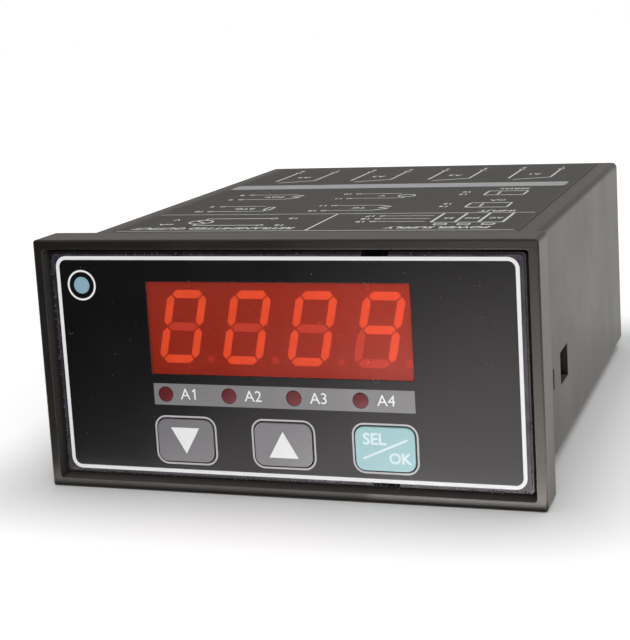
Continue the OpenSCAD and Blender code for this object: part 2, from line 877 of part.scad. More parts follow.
module opto_couplers() {
  color([0.1, 0.1, 0.1])
    for (k = [0, 1]) package(opto_x + k * opto_pitch, opto_y, opto_size, true);
}

module converter_chip() {
  color([0.1, 0.1, 0.1]) package(converter_x, board_back_y + converter_back, converter_size, true);
}

module trimmers() {
  color([0.1, 0.25, 0.6])
    for (k = [0, 1])
      translate([(k - 0.5) * trimmer_pitch, board_back_y + trimmer_back, board_z - trimmer_size[2]]) {
        difference() {
          linear_extrude(height = trimmer_size[2]) square([trimmer_size[0], trimmer_size[1]], center = true);
          translate([trimmer_size[0] / 4, 0, -over]) cylinder(r = trimmer_screw_r + 0.2, h = over + 0.6);
        }
        translate([trimmer_size[0] / 4, 0, -0.2]) cylinder(r = trimmer_screw_r, h = 0.8);
      }
}

// ---- terminals ----

module at_block(spec) {
  translate([spec[1], 0, 0]) mirror([0, 0, spec[2] > 0 ? 0 : 1]) translate([0, 0, header_mid_z]) children();
}

module header(spec) {
  w = header_w(spec[0]);
  color([0.12, 0.4, 0.2]) at_block(spec)
    difference() {
      slab(header_y0, rear_y) square([w, header_h], center = true);
      slab(header_y0 + header_base_t, rear_y + over)
        square([w - 2 * header_wall, header_h - 2 * header_wall], center = true);
      for (k = [0 : spec[0] - 1])
        translate([pole_x(spec[0], k), 0, 0])
          slab(header_y0 - over, rear_y) square([pin_side, pin_side], center = true);
    }
}

module input_header() header(input_block);
module output_header() header(output_block);
module relay_header() header(relay_block);
module supply_header() header(supply_block);

module header_pins() {
  bend_y = header_y0 - pin_tail;
  color("gold")
    for (spec = blocks) at_block(spec)
      for (k = [0 : spec[0] - 1])
        translate([pole_x(spec[0], k) - pin_side / 2, 0, 0]) {
          block([0, bend_y, -pin_side / 2], [pin_side, pin_tip_y, pin_side / 2]);
          block([0, bend_y, 0], [pin_side, bend_y + pin_side, header_h / 2]);
        }
}

module plug(spec) {
  poles = spec[0];
  nose_w = header_w(poles) - 2 * header_wall - 2 * plug_clearance;
  nose_h = header_h - 2 * header_wall - 2 * plug_clearance;
  body_w = poles * pole_pitch + 0.5;
  socket = pin_side + 2 * plug_clearance;
  top_z = plug_h - plug_drop;
  color([0.13, 0.42, 0.22]) at_block(spec)
    difference() {
      union() {
        slab(plug_nose_y, plug_shoulder_y + over) square([nose_w, nose_h], center = true);
        block([-body_w / 2, plug_shoulder_y, -plug_drop], [body_w / 2, plug_end_y, top_z]);
      }
      for (k = [0 : poles - 1]) translate([pole_x(poles, k), 0, 0]) {
        slab(plug_nose_y - over, pin_tip_y + socket_room) square([socket, socket], center = true);
        slab(plug_end_y - wire_depth, plug_end_y + over) square([wire_w, wire_h], center = true);
        translate([0, screw_y, 0]) cylinder(r = shank_r + screw_fit, h = top_z + over);
        translate([0, screw_y, top_z - screw_sink - screw_head_t])
          cylinder(r = screw_head_r + screw_hole_gap, h = screw_head_t + screw_sink + over);
      }
      for (k = [0 : poles - 2])
        translate([pole_x(poles, k) + pole_pitch / 2, plug_end_y, 0])
          cube([groove_w, 2 * groove_depth, 3 * plug_h], center = true);
    }
}

module input_plug() plug(input_block);
module output_plug() plug(output_block);
module relay_plug() plug(relay_block);
module supply_plug() plug(supply_block);

module plug_screws(spec) {
  poles = spec[0];
  seat_z = plug_h - plug_drop - screw_sink - screw_head_t;
  color([0.78, 0.78, 0.8]) at_block(spec)
    for (k = [0 : poles - 1])
      translate([pole_x(poles, k), screw_y, 0]) difference() {
        union() {
          translate([0, 0, seat_z]) cylinder(r = screw_head_r, h = screw_head_t);
          translate([0, 0, wire_h / 2 - 0.6]) cylinder(r = shank_r, h = seat_z - wire_h / 2 + 0.7);
        }
        translate([0, 0, seat_z + screw_head_t])
          cube([3 * screw_head_r, screw_slot_w, 2 * screw_slot_depth], center = true);
      }
}

module input_screws() plug_screws(input_block);
module output_screws() plug_screws(output_block);
module relay_screws() plug_screws(relay_block);
module supply_screws() plug_screws(supply_block);

// ---- label ----

module top_label() {
  color([0.2, 0.195, 0.18])
    block([-label_w / 2, label_front, sleeve_h / 2],
      [label_w / 2, sleeve_len - label_rear, sleeve_h / 2 + label_t]);
}

housing();
front_panel();
overlay_film();
red_window();
digit_1();
digit_2();
digit_3();
digit_4();
lit_segments();
unlit_segments();
alarm_lamp_1();
alarm_lamp_2();
alarm_lamp_3();
alarm_lamp_4();
down_key();
up_key();
select_key();
switch_plunger_1();
switch_plunger_2();
switch_plunger_3();
switch_base_1();
switch_base_2();
switch_base_3();
display_board();
board_screws();
controller_chip();
lower_link();
upper_link();
lower_board();
upper_board();
transformer_core();
transformer_bobbin();
transformer_winding();
relay_1();
relay_2();
relay_3();
relay_4();
main_capacitor();
bridge_rectifier();
regulator();
heat_sink();
fuse();
varistor();
opto_couplers();
converter_chip();
trimmers();
input_header();
output_header();
relay_header();
supply_header();
header_pins();
input_plug();
output_plug();
relay_plug();
supply_plug();
input_screws();
output_screws();
relay_screws();
supply_screws();
top_label();
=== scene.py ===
import json
import math

import bmesh
import bpy
from mathutils import Matrix, Vector


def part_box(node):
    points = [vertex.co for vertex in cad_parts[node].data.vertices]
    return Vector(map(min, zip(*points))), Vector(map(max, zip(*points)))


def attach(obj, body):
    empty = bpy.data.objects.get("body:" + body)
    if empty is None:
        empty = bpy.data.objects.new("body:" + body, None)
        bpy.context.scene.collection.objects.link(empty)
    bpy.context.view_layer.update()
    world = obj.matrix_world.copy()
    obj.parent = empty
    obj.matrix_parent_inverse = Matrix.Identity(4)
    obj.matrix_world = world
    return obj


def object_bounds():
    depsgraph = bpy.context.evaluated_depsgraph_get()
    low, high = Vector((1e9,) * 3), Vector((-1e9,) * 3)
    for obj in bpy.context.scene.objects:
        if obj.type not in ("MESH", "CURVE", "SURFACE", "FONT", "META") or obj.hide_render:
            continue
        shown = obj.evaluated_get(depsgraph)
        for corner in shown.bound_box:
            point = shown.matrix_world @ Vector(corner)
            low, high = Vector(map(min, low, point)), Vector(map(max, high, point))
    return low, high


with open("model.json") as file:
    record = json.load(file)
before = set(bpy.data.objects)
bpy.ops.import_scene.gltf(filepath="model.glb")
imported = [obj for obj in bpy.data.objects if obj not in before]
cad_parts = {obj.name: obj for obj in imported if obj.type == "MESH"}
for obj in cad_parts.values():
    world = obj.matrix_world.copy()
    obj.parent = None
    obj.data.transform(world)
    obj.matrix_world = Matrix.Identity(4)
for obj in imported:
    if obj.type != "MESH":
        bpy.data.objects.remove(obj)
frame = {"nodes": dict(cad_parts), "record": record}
cad_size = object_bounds()

MM = 0.001
INK = 0.03
CASING = "casing"


# ---- measures taken from the frame ----

def face_box(name, axis=1, side=-1):
    """Corners of the part of a node that lies in its outermost plane along an axis."""
    points = [v.co for v in frame["nodes"][name].data.vertices]
    level = max(side * p[axis] for p in points)
    flat = [p for p in points if level - side * p[axis] < 0.01 * MM]
    low = Vector([min(p[i] for p in flat) for i in range(3)])
    high = Vector([max(p[i] for p in flat) for i in range(3)])
    return low, high


def middle(corners):
    return (corners[0] + corners[1]) / 2


def span(corners):
    """Width, depth and height of a box in millimetres."""
    return (corners[1] - corners[0]) / MM


film = face_box("overlay_film")
window = face_box("red_window")
lamps = [middle(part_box(f"alarm_lamp_{k}")) for k in (1, 2, 3, 4)]
keys = {name: face_box(name) for name in ("down_key", "up_key", "select_key")}
label = face_box("top_label", axis=2, side=1)


# ---- objects ----

def set_all(thing, **values):
    """Sets several of a thing's properties, and returns it."""
    for name, value in values.items():
        setattr(thing, name, value)
    return thing


def placed(name, data):
    """A new object in the scene that holds the given data."""
    made = bpy.data.objects.new(name, data)
    bpy.context.scene.collection.objects.link(made)
    return made


def baked(carrier):
    """The plain mesh that an object gives, with the object itself removed."""
    bpy.context.view_layer.update()
    mesh = bpy.data.meshes.new_from_object(carrier.evaluated_get(bpy.context.evaluated_depsgraph_get()))
    bpy.data.objects.remove(carrier)
    return mesh


# ---- colours and textures that several finishes share ----

WARM_SHEEN = (1.0, 0.945, 0.905, 1)
CASING_SHEEN = (1.0, 0.93, 0.86, 1)
PALE_WEAR = (0.22, 0.215, 0.21, 1)
TEXTURED = dict(roughness_spread=0.1, grain_scale=4200.0, grain_height=0.012 * MM, worn_colour=PALE_WEAR,
                edge_radius=0.25 * MM, patch_scale=55.0)
KEY_CAP = dict(roughness=0.45, wear=0.3, dust=0.2, grain_height=0.005 * MM, specular_ior_level=0.16)
FLAT_PRINT = dict(wear=0.0, grain_height=0.003 * MM, edge_radius=0.005 * MM)
FILM_PRINT = dict(roughness=0.4, specular_ior_level=0.1, patch_scale=300.0, **FLAT_PRINT)
LOOSE_FIBRE = dict(roughness=0.9, wear=0.0, dust=0.0, patch_scale=1500.0, specular_ior_level=0.1,
                   edge_radius=0.005 * MM)


# ---- node trees ----

def feed(tree, node, values):
    """Fills a node's inputs. A value that is a socket is linked, and any other value is typed in."""
    for key, value in values.items():
        if isinstance(value, bpy.types.NodeSocket):
            tree.links.new(value, node.inputs[key])
        else:
            node.inputs[key].default_value = value
    return node


def add(tree, kind, values=None, **settings):
    """Adds a node with its properties and inputs set."""
    return feed(tree, set_all(tree.nodes.new(kind), **settings), values or {})


def out(tree, kind, values=None, socket=0, **settings):
    """Adds a node and returns one of its outputs, the first if none is named."""
    return add(tree, kind, values, **settings).outputs[socket]


def new_group(name, kind, inputs, outputs):
    """A node group, what its inputs give, and its end. Its inputs are (name, socket type, default)."""
    tree = bpy.data.node_groups.new(name, kind)
    for title, socket_type, default in inputs:
        socket = tree.interface.new_socket(title, in_out="INPUT", socket_type=socket_type)
        if default is not None:
            socket.default_value = default
    for title, socket_type in outputs:
        tree.interface.new_socket(title, in_out="OUTPUT", socket_type=socket_type)
    given = tree.nodes.new("NodeGroupInput").outputs
    return tree, given, tree.nodes.new("NodeGroupOutput")


NUMBER = "NodeSocketFloat"
WHOLE = "NodeSocketInt"
COLOUR = "NodeSocketColor"
VECTOR = "NodeSocketVector"
SHAPE = "NodeSocketGeometry"
FINISH = "NodeSocketMaterial"


def calc(tree, operation, first, second=0.0, clamp=False):
    return out(tree, "ShaderNodeMath", {0: first, 1: second}, operation=operation, use_clamp=clamp)


def times(tree, first, second, clamp=False):
    return calc(tree, "MULTIPLY", first, second, clamp)


def vector_math(tree, operation, first, second=(0, 0, 0)):
    return out(tree, "ShaderNodeVectorMath", {0: first, 1: second}, operation=operation)


def split(tree, vector):
    """The X, Y and Z outputs of a vector."""
    return add(tree, "ShaderNodeSeparateXYZ", {0: vector}).outputs


def own_place(tree):
    """The place on the object in its own coordinates, in metres."""
    return out(tree, "ShaderNodeTexCoord", None, "Object")


def past_box(tree, place, centre, half):
    """How far a place lies past the sides of a box along each axis, below zero inside it."""
    offset = vector_math(tree, "ABSOLUTE", vector_math(tree, "SUBTRACT", place, centre))
    return vector_math(tree, "SUBTRACT", offset, half)


def noise(tree, place, scale, detail=2.0, roughness=0.5):
    values = {"Vector": place, "Scale": scale, "Detail": detail, "Roughness": roughness}
    return out(tree, "ShaderNodeTexNoise", values, "Fac")


def ramp(tree, value, low, high, to_low=0.0, to_high=1.0):
    """Maps a value from one range to another, held at both ends."""
    settings = {"Value": value, "From Min": low, "From Max": high, "To Min": to_low, "To Max": to_high}
    return out(tree, "ShaderNodeMapRange", settings)


def blend(tree, factor, first, second, mode="MIX"):
    mixed = {0: factor, 6: first, 7: second}
    return out(tree, "ShaderNodeMix", mixed, 2, data_type="RGBA", blend_type=mode)


def moulding_group():
    """Moulded or printed surface: uneven tone, fine grain, pale worn edges and settled dust."""
    inputs = [
        ("Colour", COLOUR, (0.05, 0.05, 0.05, 1)), ("Patch Colour", COLOUR, (0.06, 0.06, 0.06, 1)),
        ("Worn Colour", COLOUR, (0.2, 0.2, 0.2, 1)), ("Patch Scale", NUMBER, 60.0),
        ("Grain Scale", NUMBER, 3000.0), ("Grain Height", NUMBER, 0.02), ("Roughness", NUMBER, 0.45),
        ("Roughness Spread", NUMBER, 0.1), ("Edge Radius", NUMBER, 0.0003), ("Wear", NUMBER, 0.5),
        ("Dust", NUMBER, 0.2),
    ]
    outputs = [("Colour", COLOUR), ("Roughness", NUMBER), ("Normal", VECTOR)]
    tree, given, end = new_group("moulded surface", "ShaderNodeTree", inputs, outputs)
    place = own_place(tree)
    patches = noise(tree, place, given["Patch Scale"], 4.0, 0.6)
    grain = noise(tree, place, given["Grain Scale"])
    rubbed = noise(tree, place, 900.0, 5.0, 0.7)

    bevel = out(tree, "ShaderNodeBevel", {"Radius": given["Edge Radius"]}, samples=4)
    facing = {0: bevel, 1: out(tree, "ShaderNodeNewGeometry", None, "Normal")}
    same = out(tree, "ShaderNodeVectorMath", facing, "Value", operation="DOT_PRODUCT")
    edge = ramp(tree, same, 0.995, 0.9)
    worn = times(tree, edge, ramp(tree, rubbed, 0.42, 0.62))
    worn = times(tree, worn, given["Wear"], clamp=True)

    speck_place = {"Vector": place, "Scale": 700.0, "Randomness": 1.0}
    specks = out(tree, "ShaderNodeTexVoronoi", speck_place, "Distance")
    dust = times(tree, ramp(tree, specks, 0.11, 0.05), ramp(tree, patches, 0.52, 0.7))
    dust = times(tree, dust, given["Dust"], clamp=True)

    tone = blend(tree, ramp(tree, patches, 0.35, 0.65), given["Colour"], given["Patch Colour"])
    tone = blend(tree, worn, tone, given["Worn Colour"])
    tone = blend(tree, dust, tone, (0.35, 0.34, 0.32, 1))
    uneven = times(tree, ramp(tree, patches, 0.3, 0.7, -0.5, 0.5), given["Roughness Spread"])
    rough = calc(tree, "ADD", given["Roughness"], uneven)
    rough = calc(tree, "ADD", rough, times(tree, dust, 0.4), clamp=True)
    relief = {"Height": grain, "Strength": 1.0, "Distance": given["Grain Height"], "Normal": bevel}
    feed(tree, end, {"Colour": tone, "Roughness": rough, "Normal": out(tree, "ShaderNodeBump", relief)})
    return tree


def edge_haze_group():
    """A patchy band that fades inwards from the edge of a flat rectangular part."""
    inputs = [
        ("Middle", VECTOR, (0, 0, 0)), ("Half Size", VECTOR, (0.04, 1, 0.02)), ("Reach", NUMBER, 0.0015),
        ("Patch Scale", NUMBER, 300.0),
    ]
    tree, given, end = new_group("edge haze", "ShaderNodeTree", inputs, [("Mask", NUMBER)])
    place = own_place(tree)
    past = split(tree, past_box(tree, place, given["Middle"], given["Half Size"]))
    past_edge = calc(tree, "MAXIMUM", past["X"], calc(tree, "MAXIMUM", past["Y"], past["Z"]))
    near = calc(tree, "ADD", 1.0, calc(tree, "DIVIDE", past_edge, given["Reach"]), clamp=True)
    cloud = noise(tree, place, given["Patch Scale"], 4.0, 0.65)
    mask = times(tree, near, ramp(tree, cloud, 0.3, 0.75, 0.1, 1.3), clamp=True)
    feed(tree, end, {"Mask": mask})
    return tree


MOULDED = moulding_group()
EDGE_HAZE = edge_haze_group()


def shade(colour, lift=0.0):
    """A colour as four numbers, made paler by the lift."""
    return tuple(c + lift * (1 - c) for c in colour) + (1,)


def dimmed(colour, share):
    """A share of a colour, as four numbers."""
    return tuple(share * c for c in colour) + (1,)


def plain_material(name):
    """A new material with its tree and its shader."""
    material = bpy.data.materials.new(name)
    material.use_nodes = True
    return material, material.node_tree, material.node_tree.nodes["Principled BSDF"]


def finish_of(name, colour, patch=0.02, **values):
    """A Principled material whose colour, roughness and normal come from the moulded surface group."""
    material, tree, shader = plain_material(name)
    of_group = {"Colour": shade(colour), "Patch Colour": shade(colour, patch)}
    of_shader = {}
    for key, value in values.items():
        title = key.replace("_", " ").title().replace("Ior", "IOR")
        (of_group if title in MOULDED.interface.items_tree else of_shader)[title] = value
    surface = add(tree, "ShaderNodeGroup", of_group, node_tree=MOULDED).outputs
    feed(tree, shader, {"Base Color": surface["Colour"], "Roughness": surface["Roughness"],
                        "Normal": surface["Normal"], **of_shader})
    return material


def parts_of(material):
    """The tree and shader of a material made by finish_of, and the outputs of its surface group."""
    tree = material.node_tree
    surface = [n for n in tree.nodes if n.type == "GROUP"][0].outputs
    return tree, tree.nodes["Principled BSDF"], surface


def board_material():
    """Green solder mask with tracks and plated pads under it."""
    material = finish_of("circuit_board", (0.012, 0.085, 0.035), roughness=0.3, wear=0.2, dust=0.1)
    tree, shader, surface = parts_of(material)
    place = own_place(tree)
    bricks = {"Vector": place, "Scale": 220.0, "Mortar Size": 0.035, "Mortar Smooth": 0.1, "Bias": 0.0,
              "Brick Width": 0.9, "Row Height": 0.45}
    tracks = out(tree, "ShaderNodeTexBrick", bricks, "Fac")
    cells = {"Vector": place, "Scale": 330.0, "Randomness": 0.55}
    holes = out(tree, "ShaderNodeTexVoronoi", cells, "Distance")
    pads = ramp(tree, holes, 0.2, 0.17)
    tone = blend(tree, tracks, surface["Colour"], (0.02, 0.15, 0.055, 1))
    tone = blend(tree, pads, tone, (0.5, 0.5, 0.47, 1))
    feed(tree, shader, {"Base Color": tone, "Metallic": pads})
    return material


def metal(name, colour, roughness, brushed):
    """Bare metal with uneven gloss, and fine lines along X where it is brushed."""
    material = finish_of(name, colour, patch=0.05, roughness=roughness, roughness_spread=0.2, metallic=1.0,
                         patch_scale=400.0, worn_colour=shade(colour, 0.3), grain_height=0.002 * MM)
    if brushed:
        tree, shader, surface = parts_of(material)
        drawn = out(tree, "ShaderNodeMapping", {"Vector": own_place(tree), "Scale": (0.03, 1, 1)})
        lines = noise(tree, drawn, 6000.0, 3.0)
        relief = {"Height": lines, "Distance": brushed * MM, "Normal": surface["Normal"]}
        feed(tree, shader, {"Normal": out(tree, "ShaderNodeBump", relief)})
    return material


def decimal_points(tree, place):
    """1 over the round decimal points at the lower right of the four digits, and 0 elsewhere."""
    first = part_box("digit_1")
    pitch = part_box("digit_2")[0].x - first[0].x
    at = split(tree, place)
    from_point = calc(tree, "SUBTRACT", at["X"], first[1].x - 1.2 * MM)
    wrap = {0: from_point, 1: pitch / 2, 2: -pitch / 2}
    from_point = out(tree, "ShaderNodeMath", wrap, operation="WRAP")
    near = ramp(tree, calc(tree, "ABSOLUTE", from_point), 1.2 * MM, 1.1 * MM)
    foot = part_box("unlit_segments")[0].z
    return times(tree, near, ramp(tree, at["Z"], foot + 2.2 * MM, foot + 2.0 * MM))


def glowing(name, colour, strength, shown, dim_points=False):
    """A segment of the display: pale plastic that glows. Lit segments are lit from inside by their chip; on
    unlit ones the glow is painted light. The points take less light.
    """
    material = finish_of(name, colour, roughness=0.5, wear=0.0, dust=0.0, edge_radius=0.05 * MM,
                         emission_strength=strength)
    tree, shader, surface = parts_of(material)
    place = own_place(tree)
    cloud = ramp(tree, noise(tree, place, 500.0, 1.0), 0.3, 0.7)
    glow = blend(tree, cloud, shade(shown), dimmed(shown, 0.82))
    # On the unlit digits the decimal points get a dimmer painted glow and a darker colour
    if dim_points:
        points = decimal_points(tree, place)
        glow = blend(tree, points, glow, dimmed(shown, 0.5))
        tone = blend(tree, points, surface["Colour"], dimmed(colour, 0.6))
        feed(tree, shader, {"Base Color": tone})
    feed(tree, shader, {"Emission Color": glow})
    return material


def window_material():
    """The red filter: a tinted film that lets the figures through, with painted light that makes it brighter
    towards the right.
    """
    material = finish_of("red_filter", (0.43, 0.028, 0.011), patch=0.01, roughness=0.3, grain_scale=2500.0,
                         grain_height=0.003 * MM, wear=0.3, dust=0.35, edge_radius=0.1 * MM, alpha=0.52,
                         specular_ior_level=0.12)
    tree, shader, surface = parts_of(material)
    across = split(tree, own_place(tree))["X"]
    # Painted light: the filter's colour brightens from left to right, as if lit more on the right
    painted_light = ramp(tree, across, window[0].x + 12 * MM, window[1].x - 6 * MM)
    tone = blend(tree, painted_light, surface["Colour"], (0.57, 0.044, 0.021, 1))
    feed(tree, shader, {"Base Color": tone})
    return material


def casing_material():
    """The casing's satin plastic, with painted shade: deeper black on the rim's front face and inside its
    opening.
    """
    material = finish_of("black_plastic", (0.0125, 0.0111, 0.0106), patch=0.008, roughness=0.48,
                         specular_tint=CASING_SHEEN, specular_ior_level=0.24, sheen_weight=0.21,
                         sheen_roughness=0.4, sheen_tint=CASING_SHEEN, wear=0.35, dust=0.45, **TEXTURED)
    tree, shader, surface = parts_of(material)
    place = own_place(tree)
    # Painted shade: the base colour is darkened on the rim's front face and on the walls inside its opening
    face = ramp(tree, split(tree, place)["Y"], cad_size[0].y + 0.3 * MM, cad_size[0].y + 0.05 * MM)
    low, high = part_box("front_panel")
    past = split(tree, past_box(tree, place, (low + high) / 2, (high - low) / 2))
    opening = ramp(tree, calc(tree, "MAXIMUM", past["X"], past["Z"]), 0.6 * MM, 0.3 * MM)
    painted_shade = calc(tree, "MAXIMUM", face, opening)
    tone = blend(tree, painted_shade, surface["Colour"], (0.36, 0.34, 0.33, 1), "MULTIPLY")
    feed(tree, shader, {"Base Color": tone})
    return material


def hazed(name, colour, corners, reach, haze_scale, haze_colour, **values):
    """A printed sheet with a paler, patchy band along its rim."""
    material = finish_of(name, colour, worn_colour=PALE_WEAR, specular_tint=WARM_SHEEN,
                         grain_height=0.004 * MM, **values)
    tree, shader, surface = parts_of(material)
    low, high = corners
    half = [1.0 if high[i] - low[i] < MM else (high[i] - low[i]) / 2 for i in range(3)]
    rim = {"Middle": (low + high) / 2, "Half Size": half, "Reach": reach, "Patch Scale": haze_scale}
    # The paler band along the rim; on the front film it is a painted sheen
    haze = out(tree, "ShaderNodeGroup", rim, node_tree=EDGE_HAZE)
    feed(tree, shader, {"Base Color": blend(tree, haze, surface["Colour"], haze_colour)})
    return material


PLASTICS = {
    "insert_plastic": dict(colour=(0.0078, 0.0069, 0.0064), patch=0.004, roughness=0.46, wear=0.3, dust=0.3,
                           specular_tint=WARM_SHEEN, specular_ior_level=0.24, sheen_weight=0.06,
                           sheen_roughness=0.35, sheen_tint=WARM_SHEEN, **TEXTURED),
    "display_body": dict(colour=(0.2, 0.035, 0.025), roughness=0.5, wear=0.0, dust=0.0),
    "lamp_red": dict(colour=(0.11, 0.006, 0.009), roughness=0.5, wear=0.1, dust=0.1, grain_height=0.002 * MM,
                     specular_ior_level=0.08, edge_radius=0.02 * MM),
    "grey_key": dict(colour=(0.165, 0.158, 0.166), worn_colour=(0.45, 0.45, 0.46, 1), **KEY_CAP),
    "cyan_key": dict(colour=(0.27, 0.48, 0.505), patch=0.05, worn_colour=(0.75, 0.85, 0.85, 1), **KEY_CAP),
    "component_black": dict(colour=(0.022, 0.022, 0.024), roughness=0.55, wear=0.3, grain_height=0.01 * MM,
                            worn_colour=PALE_WEAR),
    "component_blue": dict(colour=(0.03, 0.09, 0.3), patch=0.03, roughness=0.35, wear=0.2),
    "fuse_glass": dict(colour=(0.85, 0.9, 0.9), patch=0.015, roughness=0.05, roughness_spread=0.02, wear=0.0,
                       dust=0.1, transmission_weight=1.0, ior=1.46),
    "terminal_green": dict(colour=(0.02, 0.2, 0.075), roughness=0.42, wear=0.45, dust=0.3, grain_scale=3800.0,
                           grain_height=0.008 * MM, worn_colour=(0.15, 0.4, 0.25, 1), edge_radius=0.2 * MM),
}
# Each metal's colour, roughness and depth of brushing in millimetres
METALS = {
    "switch_metal": ((0.62, 0.61, 0.58), 0.35, 0),
    "plated_steel": ((0.64, 0.64, 0.62), 0.32, 0),
    "core_steel": ((0.3, 0.29, 0.27), 0.45, 0.02),
    "copper_winding": ((0.72, 0.32, 0.14), 0.3, 0.03),
    "sink_aluminium": ((0.66, 0.67, 0.68), 0.4, 0.01),
    "pin_brass": ((0.75, 0.6, 0.3), 0.28, 0),
}
INKS = {
    "white_ink": dict(colour=(0.87, 0.87, 0.87), patch=-0.05, dust=0.25, **FILM_PRINT),
    "key_ink": dict(colour=(0.72, 0.84, 0.87), patch=-0.04, dust=0.25, **FILM_PRINT),
    "line_ink": dict(colour=(0.52, 0.5, 0.52), patch=-0.05, dust=0.2, **FILM_PRINT),
    "fluff": dict(colour=(0.42, 0.4, 0.43), patch=0.25, **LOOSE_FIBRE),
    "lint": dict(colour=(0.21, 0.2, 0.235), patch=0.12, **LOOSE_FIBRE),
    "grey_ink": dict(colour=(0.2, 0.193, 0.2), patch=0.03, roughness=0.42, dust=0.3, specular_ior_level=0.12,
                     patch_scale=90.0, **FLAT_PRINT),
    "band_ink": dict(colour=(0.34, 0.34, 0.35), patch=0.04, dust=0.3, **FLAT_PRINT),
    "label_ink": dict(colour=(0.68, 0.68, 0.66), patch=-0.15, dust=0.3, patch_scale=500.0, **FLAT_PRINT),
    "blue_ink": dict(colour=(0.22, 0.4, 0.5), patch=0.05, roughness=0.42, **FLAT_PRINT),
}
looks = {
    "black_plastic": casing_material(),
    "red_filter": window_material(),
    "lit_red": glowing("lit_red", (0.8, 0.2, 0.12), 2.03, (1.0, 0.105, 0.025)),
    # The unlit segments glow with painted light, though no chip lights them
    "unlit_red": glowing("unlit_red", (0.5, 0.16, 0.13), 0.98, (0.95, 0.09, 0.05), dim_points=True),
    "circuit_board": board_material(),
    # The front film's rim band is a painted sheen, its edge catching light
    "printed_film": hazed("printed_film", (0.004, 0.0035, 0.0045), film, 1.5 * MM, 260.0,
                          (0.075, 0.06, 0.088, 1), patch=0.003, roughness=0.4, roughness_spread=0.06,
                          specular_ior_level=0.12, grain_scale=5200.0, wear=0.5, dust=0.12,
                          edge_radius=0.12 * MM, patch_scale=35.0),
    "label_film": hazed("label_film", (0.034, 0.031, 0.0245), label, 1.2 * MM, 400.0, (0.06, 0.057, 0.05, 1),
                        patch=0.01, roughness=0.38, roughness_spread=0.08, specular_ior_level=0.42,
                        grain_scale=2600.0, wear=0.2, dust=0.35, edge_radius=0.1 * MM, patch_scale=40.0),
}
looks.update({name: finish_of(name, **values) for name, values in {**PLASTICS, **INKS}.items()})
looks.update({name: metal(name, *values) for name, values in METALS.items()})


def dress_nodes():
    """Gives every part of the frame the finish that its record names."""
    slots = {part["node"]: part["material_slot"] for part in frame["record"]["subparts"]}
    for name, solid in frame["nodes"].items():
        solid.data.materials.clear()
        solid.data.materials.append(looks[slots[name]])


# ---- flat print ----

def fill(outlines):
    """A thin closed sheet in millimetres. An outline inside another is a hole."""
    curve = bpy.data.curves.new("outline", "CURVE")
    set_all(curve, dimensions="2D", fill_mode="BOTH", extrude=INK / 2)
    for points in outlines:
        spline = curve.splines.new("POLY")
        spline.points.add(len(points) - 1)
        for target, (x, y) in zip(spline.points, points):
            target.co = (x, y, 0, 1)
        spline.use_cyclic_u = True
    return baked(placed("carrier", curve))


def words(text, size, bold=0.0, lean=0.0):
    """Lettering about the origin, in millimetres."""
    letters = bpy.data.curves.new("letters", "FONT")
    set_all(letters, body=text, size=size, offset=bold, shear=lean, resolution_u=3, align_x="CENTER",
            align_y="CENTER", extrude=INK / 2)
    return baked(placed("carrier", letters))


def rounded(width, height, radius, steps=8):
    """The outline of a rounded rectangle about the origin."""
    points = []
    for corner, (sx, sy) in enumerate(((1, 1), (-1, 1), (-1, -1), (1, -1))):
        for step in range(steps + 1):
            turn = math.radians(90 * (corner + step / steps))
            points.append((sx * (width / 2 - radius) + radius * math.cos(turn),
                           sy * (height / 2 - radius) + radius * math.sin(turn)))
    return points


def frame_line(width, height, radius, line):
    """A rounded frame as two outlines, measured over its outside."""
    inner = rounded(width - 2 * line, height - 2 * line, radius - line)
    return [rounded(width, height, radius), inner]


def bar(start, end, width):
    """The outline of a straight stroke."""
    along = Vector(end) - Vector(start)
    side = Vector((-along.y, along.x)).normalized() * width / 2
    corners = (Vector(start) - side, Vector(end) - side, Vector(end) + side, Vector(start) + side)
    return [tuple(corner) for corner in corners]


def disc(x, y, radius, steps=28):
    turns = [2 * math.pi * step / steps for step in range(steps)]
    return [(x + radius * math.cos(turn), y + radius * math.sin(turn)) for turn in turns]


def on_front(x, z, y=film[0].y, proud=INK / 2):
    """Places millimetre print on an upright face that looks to the front; x, y and z are in metres."""
    place = Matrix.Translation((x, y - proud * MM, z))
    return place @ Matrix.Rotation(math.pi / 2, 4, "X") @ Matrix.Scale(MM, 4)


def on_top(x, y, turned=True):
    """Places millimetre print on the top label, to be read from the rear."""
    place = Matrix.Translation((x * MM, y * MM, label[1].z + INK * MM / 2))
    return place @ Matrix.Rotation(math.pi if turned else 0, 4, "Z") @ Matrix.Scale(MM, 4)


def piece(name, parts, look, body=CASING):
    """Joins placed meshes into one object that rides on a body, the casing if none is named."""
    joined = bmesh.new()
    for mesh, place in parts:
        mesh.transform(place)
        joined.from_mesh(mesh)
        bpy.data.meshes.remove(mesh)
    mesh = bpy.data.meshes.new(name)
    joined.to_mesh(mesh)
    joined.free()
    mesh.materials.clear()
    mesh.materials.append(looks[look])
    made = placed(name, mesh)
    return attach(made, body)


# ---- print on the front film ----

BORDER_W = 88.6
BORDER_H = 41.3
BORDER_CORNER = 2.1
BORDER_LINE = 0.7
STRIP_HALF_H = 2.05
LAMP_HOLE_R = 1.5
LAMP_LABEL_SIZE = 2.95
LAMP_LABEL_SHIFT = 4.8
KEY_LINE_OVER = 0.65
KEY_LINE_CORNER = 2.3
KEY_LINE = 0.34
ARROW_HALF_W = 2.85
ARROW_HALF_H = 2.5


def front_border():
    """The white line round the film."""
    mid = middle(film)
    line = fill(frame_line(BORDER_W, BORDER_H, BORDER_CORNER, BORDER_LINE))
    piece("front_border", [(line, on_front(mid.x, mid.z))], "white_ink")


